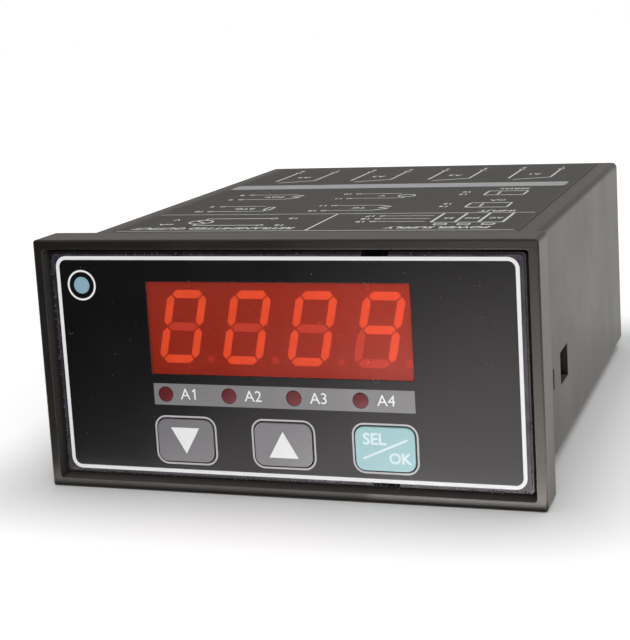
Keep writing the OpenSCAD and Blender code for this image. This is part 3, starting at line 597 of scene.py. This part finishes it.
def lamp_label(number, size):
    """The letter A and a number. The lettering's own 1 has no flag, so that figure is drawn."""
    if number != 1:
        return [(words(f"A{number}", size), 0)]
    letter = words("A", size)
    low = min(v.co.y for v in letter.vertices)
    high = max(v.co.y for v in letter.vertices)
    half = 0.05 * size
    tip = -0.18 * size
    figure = [(half, low), (half, high), (-half / 2, high), (tip, high - 0.14 * size),
              (tip, high - 0.23 * size), (-half, high - 0.15 * size), (-half, low)]
    return [(letter, -0.28 * size), (fill([figure]), 0.36 * size)]


def alarm_strip():
    """The grey strip under the window, with a hole round each lamp, and the lamps' labels."""
    left = window[0].x / MM
    right = window[1].x / MM
    lamp_z = lamps[0].z / MM
    foot = lamp_z - STRIP_HALF_H
    top = lamp_z + STRIP_HALF_H
    outline = [(left, foot), (right, foot), (right, top), (left, top)]
    holes = [disc(spot.x / MM, lamp_z, LAMP_HOLE_R) for spot in lamps]
    strip = fill([outline] + holes)
    piece("alarm_strip", [(strip, on_front(0, 0))], "grey_ink")
    labels = []
    for number, spot in enumerate(lamps, 1):
        for mesh, shift in lamp_label(number, LAMP_LABEL_SIZE):
            x = spot.x + (LAMP_LABEL_SHIFT + shift) * MM
            labels.append((mesh, on_front(x, spot.z, proud=1.4 * INK)))
    piece("alarm_labels", labels, "white_ink")


def key_lines():
    """A fine line round each key's opening."""
    lines = []
    for corners in keys.values():
        size = span(corners)
        mid = middle(corners)
        over = 2 * KEY_LINE_OVER
        shape = frame_line(size.x + over, size.z + over, KEY_LINE_CORNER, KEY_LINE)
        lines.append((fill(shape), on_front(mid.x, mid.z)))
    piece("key_outlines", lines, "line_ink")


def key_marks():
    """The arrows and the words on the keys' caps, which ride with them."""
    up = [(-ARROW_HALF_W, -ARROW_HALF_H), (ARROW_HALF_W, -ARROW_HALF_H), (0, ARROW_HALF_H)]
    for name, sense in (("down_key", -1), ("up_key", 1)):
        mid = middle(keys[name])
        arrow = [(sense * x, sense * z) for x, z in up]
        mark = (fill([arrow]), on_front(mid.x, mid.z, keys[name][0].y))
        piece(name.replace("key", "arrow"), [mark], "white_ink", name + "_body")
    mid = middle(keys["select_key"])
    front = keys["select_key"][0].y
    parts = [
        (words("SEL", 3.0, 0.085), on_front(mid.x - 1.95 * MM, mid.z + 1.75 * MM, front)),
        (words("OK", 2.8, 0.085), on_front(mid.x + 2.7 * MM, mid.z - 1.75 * MM, front)),
        (fill([bar((-4.2, -1.85), (4.2, 1.85), 0.42)]), on_front(mid.x, mid.z, front)),
    ]
    piece("select_words", parts, "key_ink", "select_key_body")


def corner_mark():
    """A plain ring with a round centre in the upper left corner."""
    x = film[0].x / MM + 5.85
    z = film[1].z / MM - 5.95
    ring = fill([disc(x, z, 2.92), disc(x, z, 2.56)])
    piece("corner_ring", [(ring, on_front(0, 0))], "white_ink")
    piece("corner_disc", [(fill([disc(x, z, 1.6)]), on_front(0, 0))], "blue_ink")


# ---- what repeats, made with Geometry Nodes ----

def strewn_specks_tree():
    """Small ragged flakes strewn over a flat strip."""
    inputs = [
        ("Width", NUMBER, 80.0), ("Height", NUMBER, 40.0), ("Count", NUMBER, 50.0), ("Least", NUMBER, 0.04),
        ("Most", NUMBER, 0.12), ("Stretch", NUMBER, 1.5), ("Ragged", NUMBER, 0.04), ("Seed", WHOLE, 1),
        ("Finish", FINISH, None),
    ]
    tree, given, end = new_group("strewn specks", "GeometryNodeTree", inputs, [("Specks", SHAPE)])
    ground_size = {"Size X": given["Width"], "Size Y": given["Height"], "Vertices X": 2, "Vertices Y": 2}
    ground = out(tree, "GeometryNodeMeshGrid", ground_size, "Mesh")
    area = times(tree, given["Width"], given["Height"])
    density = calc(tree, "DIVIDE", given["Count"], area)
    strewn = {"Mesh": ground, "Density": density, "Seed": given["Seed"]}
    points = out(tree, "GeometryNodeDistributePointsOnFaces", strewn, "Points")
    chance = {2: given["Least"], 3: given["Most"], "Seed": given["Seed"]}
    size = out(tree, "FunctionNodeRandomValue", chance, 1, data_type="FLOAT")
    long = times(tree, size, given["Stretch"])
    flat = times(tree, size, 0.3)
    scale = out(tree, "ShaderNodeCombineXYZ", {0: long, 1: size, 2: flat})
    turns = {0: (0, 0, 0), 1: (0, 0, 2 * math.pi), "Seed": given["Seed"]}
    turn = out(tree, "FunctionNodeRandomValue", turns, data_type="FLOAT_VECTOR")
    flake = out(tree, "GeometryNodeMeshIcoSphere", {"Radius": 1.0, "Subdivisions": 1}, "Mesh")
    strewing = {"Points": points, "Instance": flake, "Rotation": turn, "Scale": scale}
    strewn_flakes = out(tree, "GeometryNodeInstanceOnPoints", strewing)
    solid = out(tree, "GeometryNodeRealizeInstances", {0: strewn_flakes})
    finish_tree(tree, end, ragged(tree, solid, given["Ragged"]), given["Finish"])
    return tree


def ragged(tree, shape, amount, scale=7.0):
    """Pushes the points of a shape about by an uneven amount."""
    place = out(tree, "GeometryNodeInputPosition")
    cloud = out(tree, "ShaderNodeTexNoise", {"Vector": place, "Scale": scale, "Detail": 1.0}, "Color")
    push = out(tree, "ShaderNodeVectorMath", {0: cloud, 1: (0.5, 0.5, 0.5)}, operation="SUBTRACT")
    push = out(tree, "ShaderNodeVectorMath", {0: push, "Scale": amount}, operation="SCALE")
    return out(tree, "GeometryNodeSetPosition", {"Geometry": shape, "Offset": push})


def finish_tree(tree, end, shape, finish):
    """Ends a tree with real geometry that has its material."""
    solid = out(tree, "GeometryNodeRealizeInstances", {0: shape})
    done = out(tree, "GeometryNodeSetMaterial", {"Geometry": solid, "Material": finish})
    feed(tree, end, {0: done})


def laid_in_line(tree, shape, count, step):
    """Copies of a shape in a line, each one step on from the last."""
    line = out(tree, "GeometryNodeMeshLine", {"Count": count, "Offset": step})
    return out(tree, "GeometryNodeInstanceOnPoints", {"Points": line, "Instance": shape})


def curled_hair_tree():
    """One fine hair that curls on the face."""
    inputs = [
        ("Inner Radius", NUMBER, 0.3), ("Outer Radius", NUMBER, 1.2), ("Turns", NUMBER, 0.8),
        ("Thickness", NUMBER, 0.03), ("Waver", NUMBER, 0.6), ("Finish", FINISH, None),
    ]
    tree, given, end = new_group("curled hair", "GeometryNodeTree", inputs, [("Hair", SHAPE)])
    curl_size = {"Resolution": 22, "Rotations": given["Turns"], "Start Radius": given["Inner Radius"],
                 "End Radius": given["Outer Radius"], "Height": 0.02}
    curl = out(tree, "GeometryNodeCurveSpiral", curl_size)
    curl = ragged(tree, curl, given["Waver"], 0.7)
    section = out(tree, "GeometryNodeCurvePrimitiveCircle", {"Resolution": 5, "Radius": given["Thickness"]})
    drawn = {"Curve": curl, "Profile Curve": section, "Fill Caps": True}
    hair = out(tree, "GeometryNodeCurveToMesh", drawn)
    finish_tree(tree, end, hair, given["Finish"])
    return tree


def wound_coil_tree():
    """Turns of round wire laid side by side round a rectangular bobbin."""
    inputs = [
        ("Width", NUMBER, 20.0), ("Depth", NUMBER, 20.0), ("Corner", NUMBER, 1.5), ("Wire", NUMBER, 0.5),
        ("Turns", WHOLE, 20), ("Finish", FINISH, None),
    ]
    tree, given, end = new_group("wound coil", "GeometryNodeTree", inputs, [("Coil", SHAPE)])
    outline_size = {"Width": given["Width"], "Height": given["Depth"]}
    outline = out(tree, "GeometryNodeCurvePrimitiveQuadrilateral", outline_size)
    smooth = {"Curve": outline, "Radius": given["Corner"], "Count": 4}
    outline = out(tree, "GeometryNodeFilletCurve", smooth, mode="POLY")
    wire_r = times(tree, given["Wire"], 0.5)
    wire = out(tree, "GeometryNodeCurvePrimitiveCircle", {"Resolution": 6, "Radius": wire_r})
    turn = out(tree, "GeometryNodeCurveToMesh", {"Curve": outline, "Profile Curve": wire})
    step = out(tree, "ShaderNodeCombineXYZ", {2: given["Wire"]})
    finish_tree(tree, end, laid_in_line(tree, turn, given["Turns"], step), given["Finish"])
    return tree


def soldered_row_tree():
    """A row of solder cones with the cut wire standing out of each."""
    inputs = [
        ("Count", WHOLE, 8), ("Pitch", NUMBER, 5.08), ("Foot", NUMBER, 0.9), ("Height", NUMBER, 0.9),
        ("Finish", FINISH, None),
    ]
    tree, given, end = new_group("soldered row", "GeometryNodeTree", inputs, [("Joints", SHAPE)])
    tip = times(tree, given["Foot"], 0.35)
    cone_size = {"Vertices": 10, "Radius Top": tip, "Radius Bottom": given["Foot"], "Depth": given["Height"]}
    cone = out(tree, "GeometryNodeMeshCone", cone_size, "Mesh")
    wire_h = times(tree, given["Height"], 1.7)
    wire_size = {"Vertices": 8, "Radius": tip, "Depth": wire_h}
    wire = out(tree, "GeometryNodeMeshCylinder", wire_size, "Mesh")
    lift = out(tree, "ShaderNodeCombineXYZ", {2: times(tree, wire_h, 0.5)})
    wire = out(tree, "GeometryNodeTransform", {"Geometry": wire, "Translation": lift})
    both = tree.nodes.new("GeometryNodeJoinGeometry")
    tree.links.new(cone, both.inputs[0])
    tree.links.new(wire, both.inputs[0])
    step = out(tree, "ShaderNodeCombineXYZ", {0: given["Pitch"]})
    finish_tree(tree, end, laid_in_line(tree, both.outputs[0], given["Count"], step), given["Finish"])
    return tree


def grow(tree, **values):
    """Runs a Geometry Nodes tree with its inputs set, and returns its plain mesh."""
    carrier = placed("carrier", bpy.data.meshes.new("carrier"))
    modifier = carrier.modifiers.new("grow", "NODES")
    modifier.node_group = tree
    named = {key.replace("_", " ").title(): value for key, value in values.items()}
    for item in tree.interface.items_tree:
        if item.in_out == "INPUT" and item.name in named:
            modifier[item.identifier] = named[item.name]
    return baked(carrier)


# Each hair's place, inner and outer radius, turns and waver
HAIRS = (
    (17.0, 16.0, 0.25, 0.7, 0.7, 0.5), (37.8, 2.2, 1.3, 1.5, 0.42, 0.9), (17.8, -1.6, 0.3, 0.8, 0.6, 0.7),
    (-42.2, 6.0, 0.3, 0.5, 0.55, 0.4), (36.8, 16.3, 0.5, 0.9, 0.4, 0.5), (19.6, -20.3, 1.6, 2.2, 0.3, 1.2),
)
POLE_PITCH = 5.08
PLUG_SIDES = 0.5
LINK_PITCH = 2.54
LINK_POLES = 12
WINDING_WIRE = 0.42


def settled_dust(specks):
    """Specks scattered over the film."""
    mid = middle(film)
    wide, _, high = span(film)
    scattered = grow(specks, width=wide - 4, height=high - 4, count=46.0, least=0.035, most=0.085, seed=4,
                     finish=looks["fluff"])
    piece("settled_dust", [(scattered, on_front(mid.x, mid.z))], "fluff")


def edge_lint(specks):
    """Lint in the corner between film and rim, thickest along the lower and left edges."""
    mid = middle(film)
    wide, _, high = span(film)
    edges = (
        (wide - 1, 0.5, 300.0, mid.x, film[0].z - 0.05 * MM, 3),
        (wide - 1, 0.35, 50.0, mid.x, film[1].z, 5),
        (0.5, high - 2, 110.0, film[0].x - 0.05 * MM, mid.z, 7),
        (0.35, high - 2, 25.0, film[1].x, mid.z, 9),
    )
    parts = []
    for width, height, count, x, z, seed in edges:
        strip = grow(specks, width=width, height=height, count=count, least=0.03, most=0.13, stretch=2.4,
                     ragged=0.14, seed=seed, finish=looks["lint"])
        parts.append((strip, on_front(x, z)))
    piece("edge_lint", parts, "lint")


def curled_hairs():
    """A few fine hairs on the film."""
    hair = curled_hair_tree()
    parts = []
    for x, z, inner, outer, turns, waver in HAIRS:
        strand = grow(hair, inner_radius=inner, outer_radius=outer, turns=turns, waver=waver,
                      finish=looks["fluff"])
        parts.append((strand, on_front(x * MM, z * MM, proud=0.05)))
    piece("curled_hairs", parts, "fluff")


def transformer_turns():
    """Wire turns over the transformer's winding."""
    low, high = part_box("transformer_winding")
    size = span((low, high))
    coil = grow(wound_coil_tree(), width=size.x, depth=size.y, corner=1.5, wire=WINDING_WIRE,
                turns=int(size.z / WINDING_WIRE), finish=looks["copper_winding"])
    place = Matrix.Translation(((low.x + high.x) / 2, (low.y + high.y) / 2, low.z + WINDING_WIRE * MM / 2))
    piece("winding_turns", [(coil, place @ Matrix.Scale(MM, 4))], "copper_winding")


def pole_count(plug):
    """How many poles a plug has, from its box."""
    return round((span(plug).x - PLUG_SIDES) / POLE_PITCH)


def joint_row(row, board, x, y, count, pitch, **sizes):
    """A row of joints about x on the outer face of one of the two long boards, with its place."""
    upper = board == "upper_board"
    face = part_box(board)[1 if upper else 0].z
    joints = grow(row, count=count, pitch=pitch, finish=looks["plated_steel"], **sizes)
    turned = Matrix.Rotation(0 if upper else math.pi, 4, "X")
    place = Matrix.Translation((x - (count - 1) / 2 * pitch * MM, y, face)) @ turned @ Matrix.Scale(MM, 4)
    return joints, place


def solder_joints():
    """Soldered pins of the terminal headers and links on the outer faces of the two long boards."""
    row = soldered_row_tree()
    parts = []
    for name, board in (("input", "upper_board"), ("output", "upper_board"), ("relay", "lower_board"),
                        ("supply", "lower_board")):
        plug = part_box(name + "_plug")
        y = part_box(name + "_header")[0].y - 0.7 * MM
        parts.append(joint_row(row, board, middle(plug).x, y, pole_count(plug), POLE_PITCH))
    for name, board in (("upper_link", "upper_board"), ("lower_link", "lower_board")):
        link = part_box(name)
        y = link[1].y - 0.3 * MM
        parts.append(joint_row(row, board, middle(link).x, y, LINK_POLES, LINK_PITCH, foot=0.7, height=0.7))
    piece("solder_joints", parts, "plated_steel")


def terminal_numbers():
    """Numbers beside the wire entries, printed on each plug's rear face and read from behind."""
    first = 1
    for name, upper in (("relay", False), ("supply", False), ("input", True), ("output", True)):
        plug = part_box(name + "_plug")
        poles = pole_count(plug)
        z = plug[0].z + 2.1 * MM if upper else plug[1].z - 2.1 * MM
        numbers = []
        for pole in range(poles):
            x = middle(plug).x + ((poles - 1) / 2 - pole) * POLE_PITCH * MM
            place = Matrix.Translation((x, plug[1].y - 0.4 * INK * MM, z)) @ Matrix.Rotation(math.pi, 4, "Z")
            place = place @ Matrix.Rotation(math.pi / 2, 4, "X") @ Matrix.Scale(MM, 4)
            numbers.append((words(str(first + pole), 2.3, 0.04), place))
        first += poles
        piece(name + "_numbers", numbers, "white_ink", name + "_plug_body")


# ---- print on the top label ----

FINE = 0.26
BOLD = 0.4
HEAVY = 0.45
RULE_REACH = 40
RULES = (10.8, 31.6)
DIVIDER_X = -0.4
ROW_X = 34
ROW_Y = 7.9
ROW_PITCH = 9.7
SUPPLY_BARS = (36, 31.3, 26.7, 22)
SUPPLY_RAIL = 19.9
SUPPLY_ROWS = (21.2, 24.7, 28.2)
OUTPUT_X = -26.5
OUTPUT_END = -13
OUTPUT_ROWS = (17.6, 26)
INPUT_COLUMNS = (28.5, 5, -20.5)
INPUT_ROWS = (36, 53.5)
PAIR_PITCH = 7
RELAY_X = 33.6
RELAY_PITCH = 9.6
CONTACT_Y = 88
BAND_SIZE = (79.5, 6.6)
BAND_PLACE = (-0.4, 73.4)


def strokes(points, width=FINE):
    """A stroke from each point to the next, each a shape of its own."""
    return [[bar(start, end, width)] for start, end in zip(points, points[1:])]


def ring_at(x, y, radius, line=FINE):
    return [disc(x, y, radius), disc(x, y, radius - line)]


def box_at(x, y, width, height, line=FINE):
    """An upright open box about a point."""
    shape = frame_line(width, height, 0.7, line)
    return [[(x + px, y + py) for px, py in outline] for outline in shape]


def terminal_row(x, y, number, reach=9.5):
    """One wire of a wiring sign, from its part to its terminal and number."""
    end = x - reach
    return strokes([(x, y), (end, y)]) + [ring_at(end - 0.6, y, 0.65)], (str(number), end - 3, y, 2.1)


def supply_sign():
    """Four posts on a rail, with a box and a mark in each gap, and three numbered wires."""
    shapes = strokes([(SUPPLY_BARS[0], SUPPLY_RAIL), (SUPPLY_BARS[-1], SUPPLY_RAIL)])
    texts = []
    for x in SUPPLY_BARS:
        shapes += strokes([(x, SUPPLY_RAIL), (x, 31)], 0.5)
    for x, mark in zip(SUPPLY_BARS, ("AC", "DC", "24")):
        shapes.append(box_at(x - 2.3, SUPPLY_RAIL - 2.2, 2.6, 2.3, BOLD))
        texts.append((mark, x - 2.3, 25, 2))
    for y, number in zip(SUPPLY_ROWS, (19, 18, 17)):
        row, text = terminal_row(20.6, y, number, 10)
        shapes += row
        texts.append(text)
    return shapes, texts


def output_sign():
    """A crossed ring between two wires that end in numbered terminals."""
    shapes = strokes([(OUTPUT_X - 1.9, 23.7), (OUTPUT_X + 1.9, 19.9)], BOLD)
    shapes.append(ring_at(OUTPUT_X, 21.8, 2.6, BOLD))
    texts = [("mA", OUTPUT_X - 6.5, 19, 2.2), ("V", OUTPUT_X - 6.5, 25, 2.2)]
    for y, ring_side, number in zip(OUTPUT_ROWS, (19.2, 24.4), (16, 15)):
        shapes += strokes([(OUTPUT_END, y), (OUTPUT_X, y), (OUTPUT_X, ring_side)], BOLD)
        shapes.append(ring_at(OUTPUT_END + 0.8, y, 0.8))
        texts.append((str(number), OUTPUT_END + 5, y, 2.2))
    return shapes, texts


def probe_sign(x, y, kind):
    """The part at the end of a pair of input wires."""
    half = PAIR_PITCH / 2
    if kind == "couple":
        kinks = [(x, y), (x + 3.2, y + 2.2), (x + 0.6, y + 3.6), (x + 3.2, y + 5), (x, y + PAIR_PITCH)]
        return strokes(kinks, BOLD)
    if kind == "resistor":
        return [box_at(x + 2, y + half, 1.8, 4.4, BOLD)] + strokes([(x, y), (x + 2, y), (x + 2, y + 1.4)])
    return [ring_at(x + 2, y + half, 2, BOLD)] + strokes([(x, y), (x + 2, y), (x + 2, y + 1.6)])


def input_signs():
    """Two rows of three inputs, each with its two terminals."""
    shapes = []
    texts = []
    kinds = (("box", "box"), ("couple", "source"), ("resistor", "couple"))
    labels = (("mA", "SERIAL"), ("TC", "V"), ("RTD", "POT."))
    number = 14
    for x, pair, names in zip(INPUT_COLUMNS, kinds, labels):
        for top, kind, name in zip(INPUT_ROWS, pair, names):
            if kind == "box":
                shapes += strokes([(x - 1.5, top + 4), (x - 1.5, top + 8)], BOLD)
                shapes.append(box_at(x, top + 6, 9, 6.5, BOLD))
                texts += [(name, x + 0.5, top + 12.6, 2.3), (str(number), x - 9, top + 4.4, 2.1),
                          (str(number - 1), x - 9, top + 8, 2.1)]
            else:
                shapes += probe_sign(x, top, kind)
                for y, pole in ((top, number), (top + PAIR_PITCH, number - 1)):
                    row, text = terminal_row(x, y, pole)
                    shapes += row
                    texts.append(text)
                texts.append((name, x - 3.5, top + 3.6, 2.3))
            number -= 1
    return shapes, texts


def relay_signs():
    """Four contacts behind the band, each with its two wires and terminal numbers."""
    shapes = []
    texts = []
    for number in range(8):
        x = RELAY_X - RELAY_PITCH * number
        shapes += strokes([(x, CONTACT_Y), (x, 99.5)], HEAVY) + [ring_at(x, 100.3, 0.8)]
        texts.append((str(number + 1), x, 103.5, 2.4))
        if number % 2 == 0:
            far = x - RELAY_PITCH
            shapes += strokes([(x, CONTACT_Y), (x, CONTACT_Y - 3), (far + 1.5, CONTACT_Y - 6.5)], HEAVY)
            shapes += strokes([(far, CONTACT_Y), (far, CONTACT_Y - 4)], HEAVY)
            texts.append((f"A{number // 2 + 1}", x - RELAY_PITCH / 2, CONTACT_Y + 3, 2.8))
    return shapes, texts


def wiring_print():
    """Ruled lines, numbers and plain wiring signs, read from the rear."""
    shapes = strokes([(DIVIDER_X, y) for y in RULES], BOLD)
    for y in RULES:
        shapes += strokes([(-RULE_REACH, y), (RULE_REACH, y)])
    texts = [("INPUT", 32, 34, 2.6)]
    for made in (supply_sign(), output_sign(), input_signs(), relay_signs()):
        shapes += made[0]
        texts += made[1]
    for number in range(8):
        texts.append((str(9 + number), ROW_X - ROW_PITCH * number, ROW_Y, 2.8))
    parts = [(fill(shape), on_top(0, 0, turned=False)) for shape in shapes]
    for text, x, y, size in texts:
        parts.append((words(text, size, 0.05), on_top(x, y)))
    for text, x in (("POWER SUPPLY", 25), ("RETRANSMITTED OUTPUT", -20.5)):
        parts.append((words(text, 2.85, 0.07, 0.2), on_top(x, 14)))
    piece("wiring_print", parts, "label_ink")
    band = fill([rounded(*BAND_SIZE, 1.0)])
    piece("rating_band", [(band, on_top(*BAND_PLACE))], "band_ink")


# ---- studio ----

CAMERA_PLACE = (0.0932, -0.2458, 0.065)
CAMERA_TURN = (81.24, 3.14, 17.72)
CAMERA_LENS = 81.8
CAMERA_SHIFT = (-0.055, -0.148)
FLOOR_Z = cad_size[0].z
FLOOR_REACH = 3.0
# Lamps on the floor that show in reflections alone: name, x, y, height in mm, size, power
GLOWS = (
    ("floor_glow", 0.045, -0.075, 1.0, (0.1, 0.125), 0.34),
    ("near_glow", 0.012, -0.031, 1.0, (0.085, 0.035), 0.05),
    ("foot_glow", 0.012, -0.0117, 0.5, (0.125, 0.0042), 0.017),
    ("right_foot_glow", 0.045, -0.0117, 0.5, (0.06, 0.0042), 0.011),
)


def camera():
    """The view from a little to the right and above, with its lens shifted."""
    data = bpy.data.cameras.new("camera")
    set_all(data, sensor_width=36, lens=CAMERA_LENS, clip_start=0.01)
    data.shift_x, data.shift_y = CAMERA_SHIFT
    turns = [math.radians(turn) for turn in CAMERA_TURN]
    bpy.context.scene.camera = set_all(placed("camera", data), location=CAMERA_PLACE, rotation_euler=turns)


def lamp(name, place, aim, size, power):
    """A rectangular lamp that faces its aim."""
    data = bpy.data.lights.new(name, "AREA")
    set_all(data, shape="RECTANGLE", size=size[0], size_y=size[1], energy=power)
    turned = (Vector(aim) - Vector(place)).to_track_quat("-Z", "Y").to_euler()
    return set_all(placed(name, data), location=place, rotation_euler=turned, visible_camera=False)


def sheet(name, corners, material):
    """A single flat face."""
    mesh = bpy.data.meshes.new(name)
    mesh.from_pydata(corners, [], [(0, 1, 2, 3)])
    mesh.materials.append(material)
    return placed(name, mesh)


def upright(depth, left, right, low, high):
    return [(left, depth, low), (right, depth, low), (right, depth, high), (left, depth, high)]


def level_card(height, left, right, front, rear):
    return [(left, front, height), (right, front, height), (right, rear, height), (left, rear, height)]


def flag(name, corners, grey):
    """A card that only mirrors see, so that dark plastic has something dark to reflect."""
    cloth, tree, shader = plain_material(name)
    feed(tree, shader, {"Base Color": (grey, grey, grey, 1)})
    card = sheet(name, corners, cloth)
    set_all(card, visible_camera=False, visible_shadow=False, visible_diffuse=False)


def seen_directly(tree):
    """1 for rays that come from the camera, a mirror or glass."""
    path = add(tree, "ShaderNodeLightPath").outputs
    shown = calc(tree, "MAXIMUM", path["Is Camera Ray"], path["Is Glossy Ray"])
    return calc(tree, "MAXIMUM", shown, path["Is Transmission Ray"])


def sky():
    """White for rays that see it, and half as strong as light."""
    world = bpy.data.worlds.new("studio")
    world.use_nodes = True
    bpy.context.scene.world = world
    tree = world.node_tree
    strength = ramp(tree, seen_directly(tree), 0, 1, 0.5, 1.0)
    feed(tree, tree.nodes["Background"], {"Color": (1, 1, 1, 1), "Strength": strength})


def paper_material():
    """White paper that glows for rays that see it, less near the object so that a painted shadow halo lies
    round it, and clears to the sky's white away from the object's shadow.
    """
    paper, tree, shader = plain_material("paper")
    place = own_place(tree)
    tone = blend(tree, noise(tree, place, 40.0), (0.74, 0.74, 0.74, 1), (0.76, 0.76, 0.76, 1))
    centre = (cad_size[0] + cad_size[1]) / 2
    half = (cad_size[1] - cad_size[0]) / 2
    past = vector_math(tree, "MAXIMUM", past_box(tree, place, centre, half))
    away = out(tree, "ShaderNodeVectorMath", {0: past}, "Value", operation="LENGTH")
    # Painted shadow: the paper's glow fades out within 26 mm of the object's box, darkening the floor round
    # it
    painted_shadow_fade = ramp(tree, away, 0.0, 0.026, 0.0, 0.36)
    lift = calc(tree, "ADD", painted_shadow_fade, ramp(tree, away, 0.03, 0.5, 0.0, 0.3))
    shine = times(tree, seen_directly(tree), lift)
    feed(tree, shader, {"Base Color": tone, "Roughness": 0.9, "Specular IOR Level": 0.1,
                        "Emission Color": (1, 1, 1, 1), "Emission Strength": shine})
    return paper


def studio():
    """Sky, floor, mirror cards and lamps."""
    sky()
    corners = level_card(FLOOR_Z, -FLOOR_REACH, FLOOR_REACH, -FLOOR_REACH, FLOOR_REACH)
    sheet("floor", corners, paper_material())
    flag("front_flag", upright(-0.75, -2.2, 0.5, FLOOR_Z, 1.2), 0.015)
    flag("rear_flag", upright(0.9, -1.5, 1.5, 0.04, 0.9), 0.3)
    flag("left_flag", level_card(FLOOR_Z + 2 * MM, -0.6, -0.012, -0.6, -0.05), 0.01)
    flag("far_flag", level_card(FLOOR_Z + 2 * MM, -0.012, 0.5, -0.6, -0.14), 0.02)
    lamp("overhead", (0.05, 0.1, 0.7), (0, 0.03, 0), (0.7, 0.7), 1.9)
    front_fill = lamp("front_fill", (0.3, -0.75, 0.42), (0, 0, 0), (0.5, 0.5), 3.5)
    front_fill.visible_glossy = False
    for name, x, y, height, size, power in GLOWS:
        glow = lamp(name, (x, y, FLOOR_Z + height * MM), (x, y, 1), size, power)
        glow.visible_diffuse = False


dress_nodes()
front_border()
alarm_strip()
key_lines()
key_marks()
corner_mark()
wiring_print()
strewn_specks = strewn_specks_tree()
settled_dust(strewn_specks)
edge_lint(strewn_specks)
curled_hairs()
transformer_turns()
solder_joints()
terminal_numbers()
camera()
studio()
bpy.context.scene.view_settings.view_transform = "Standard"
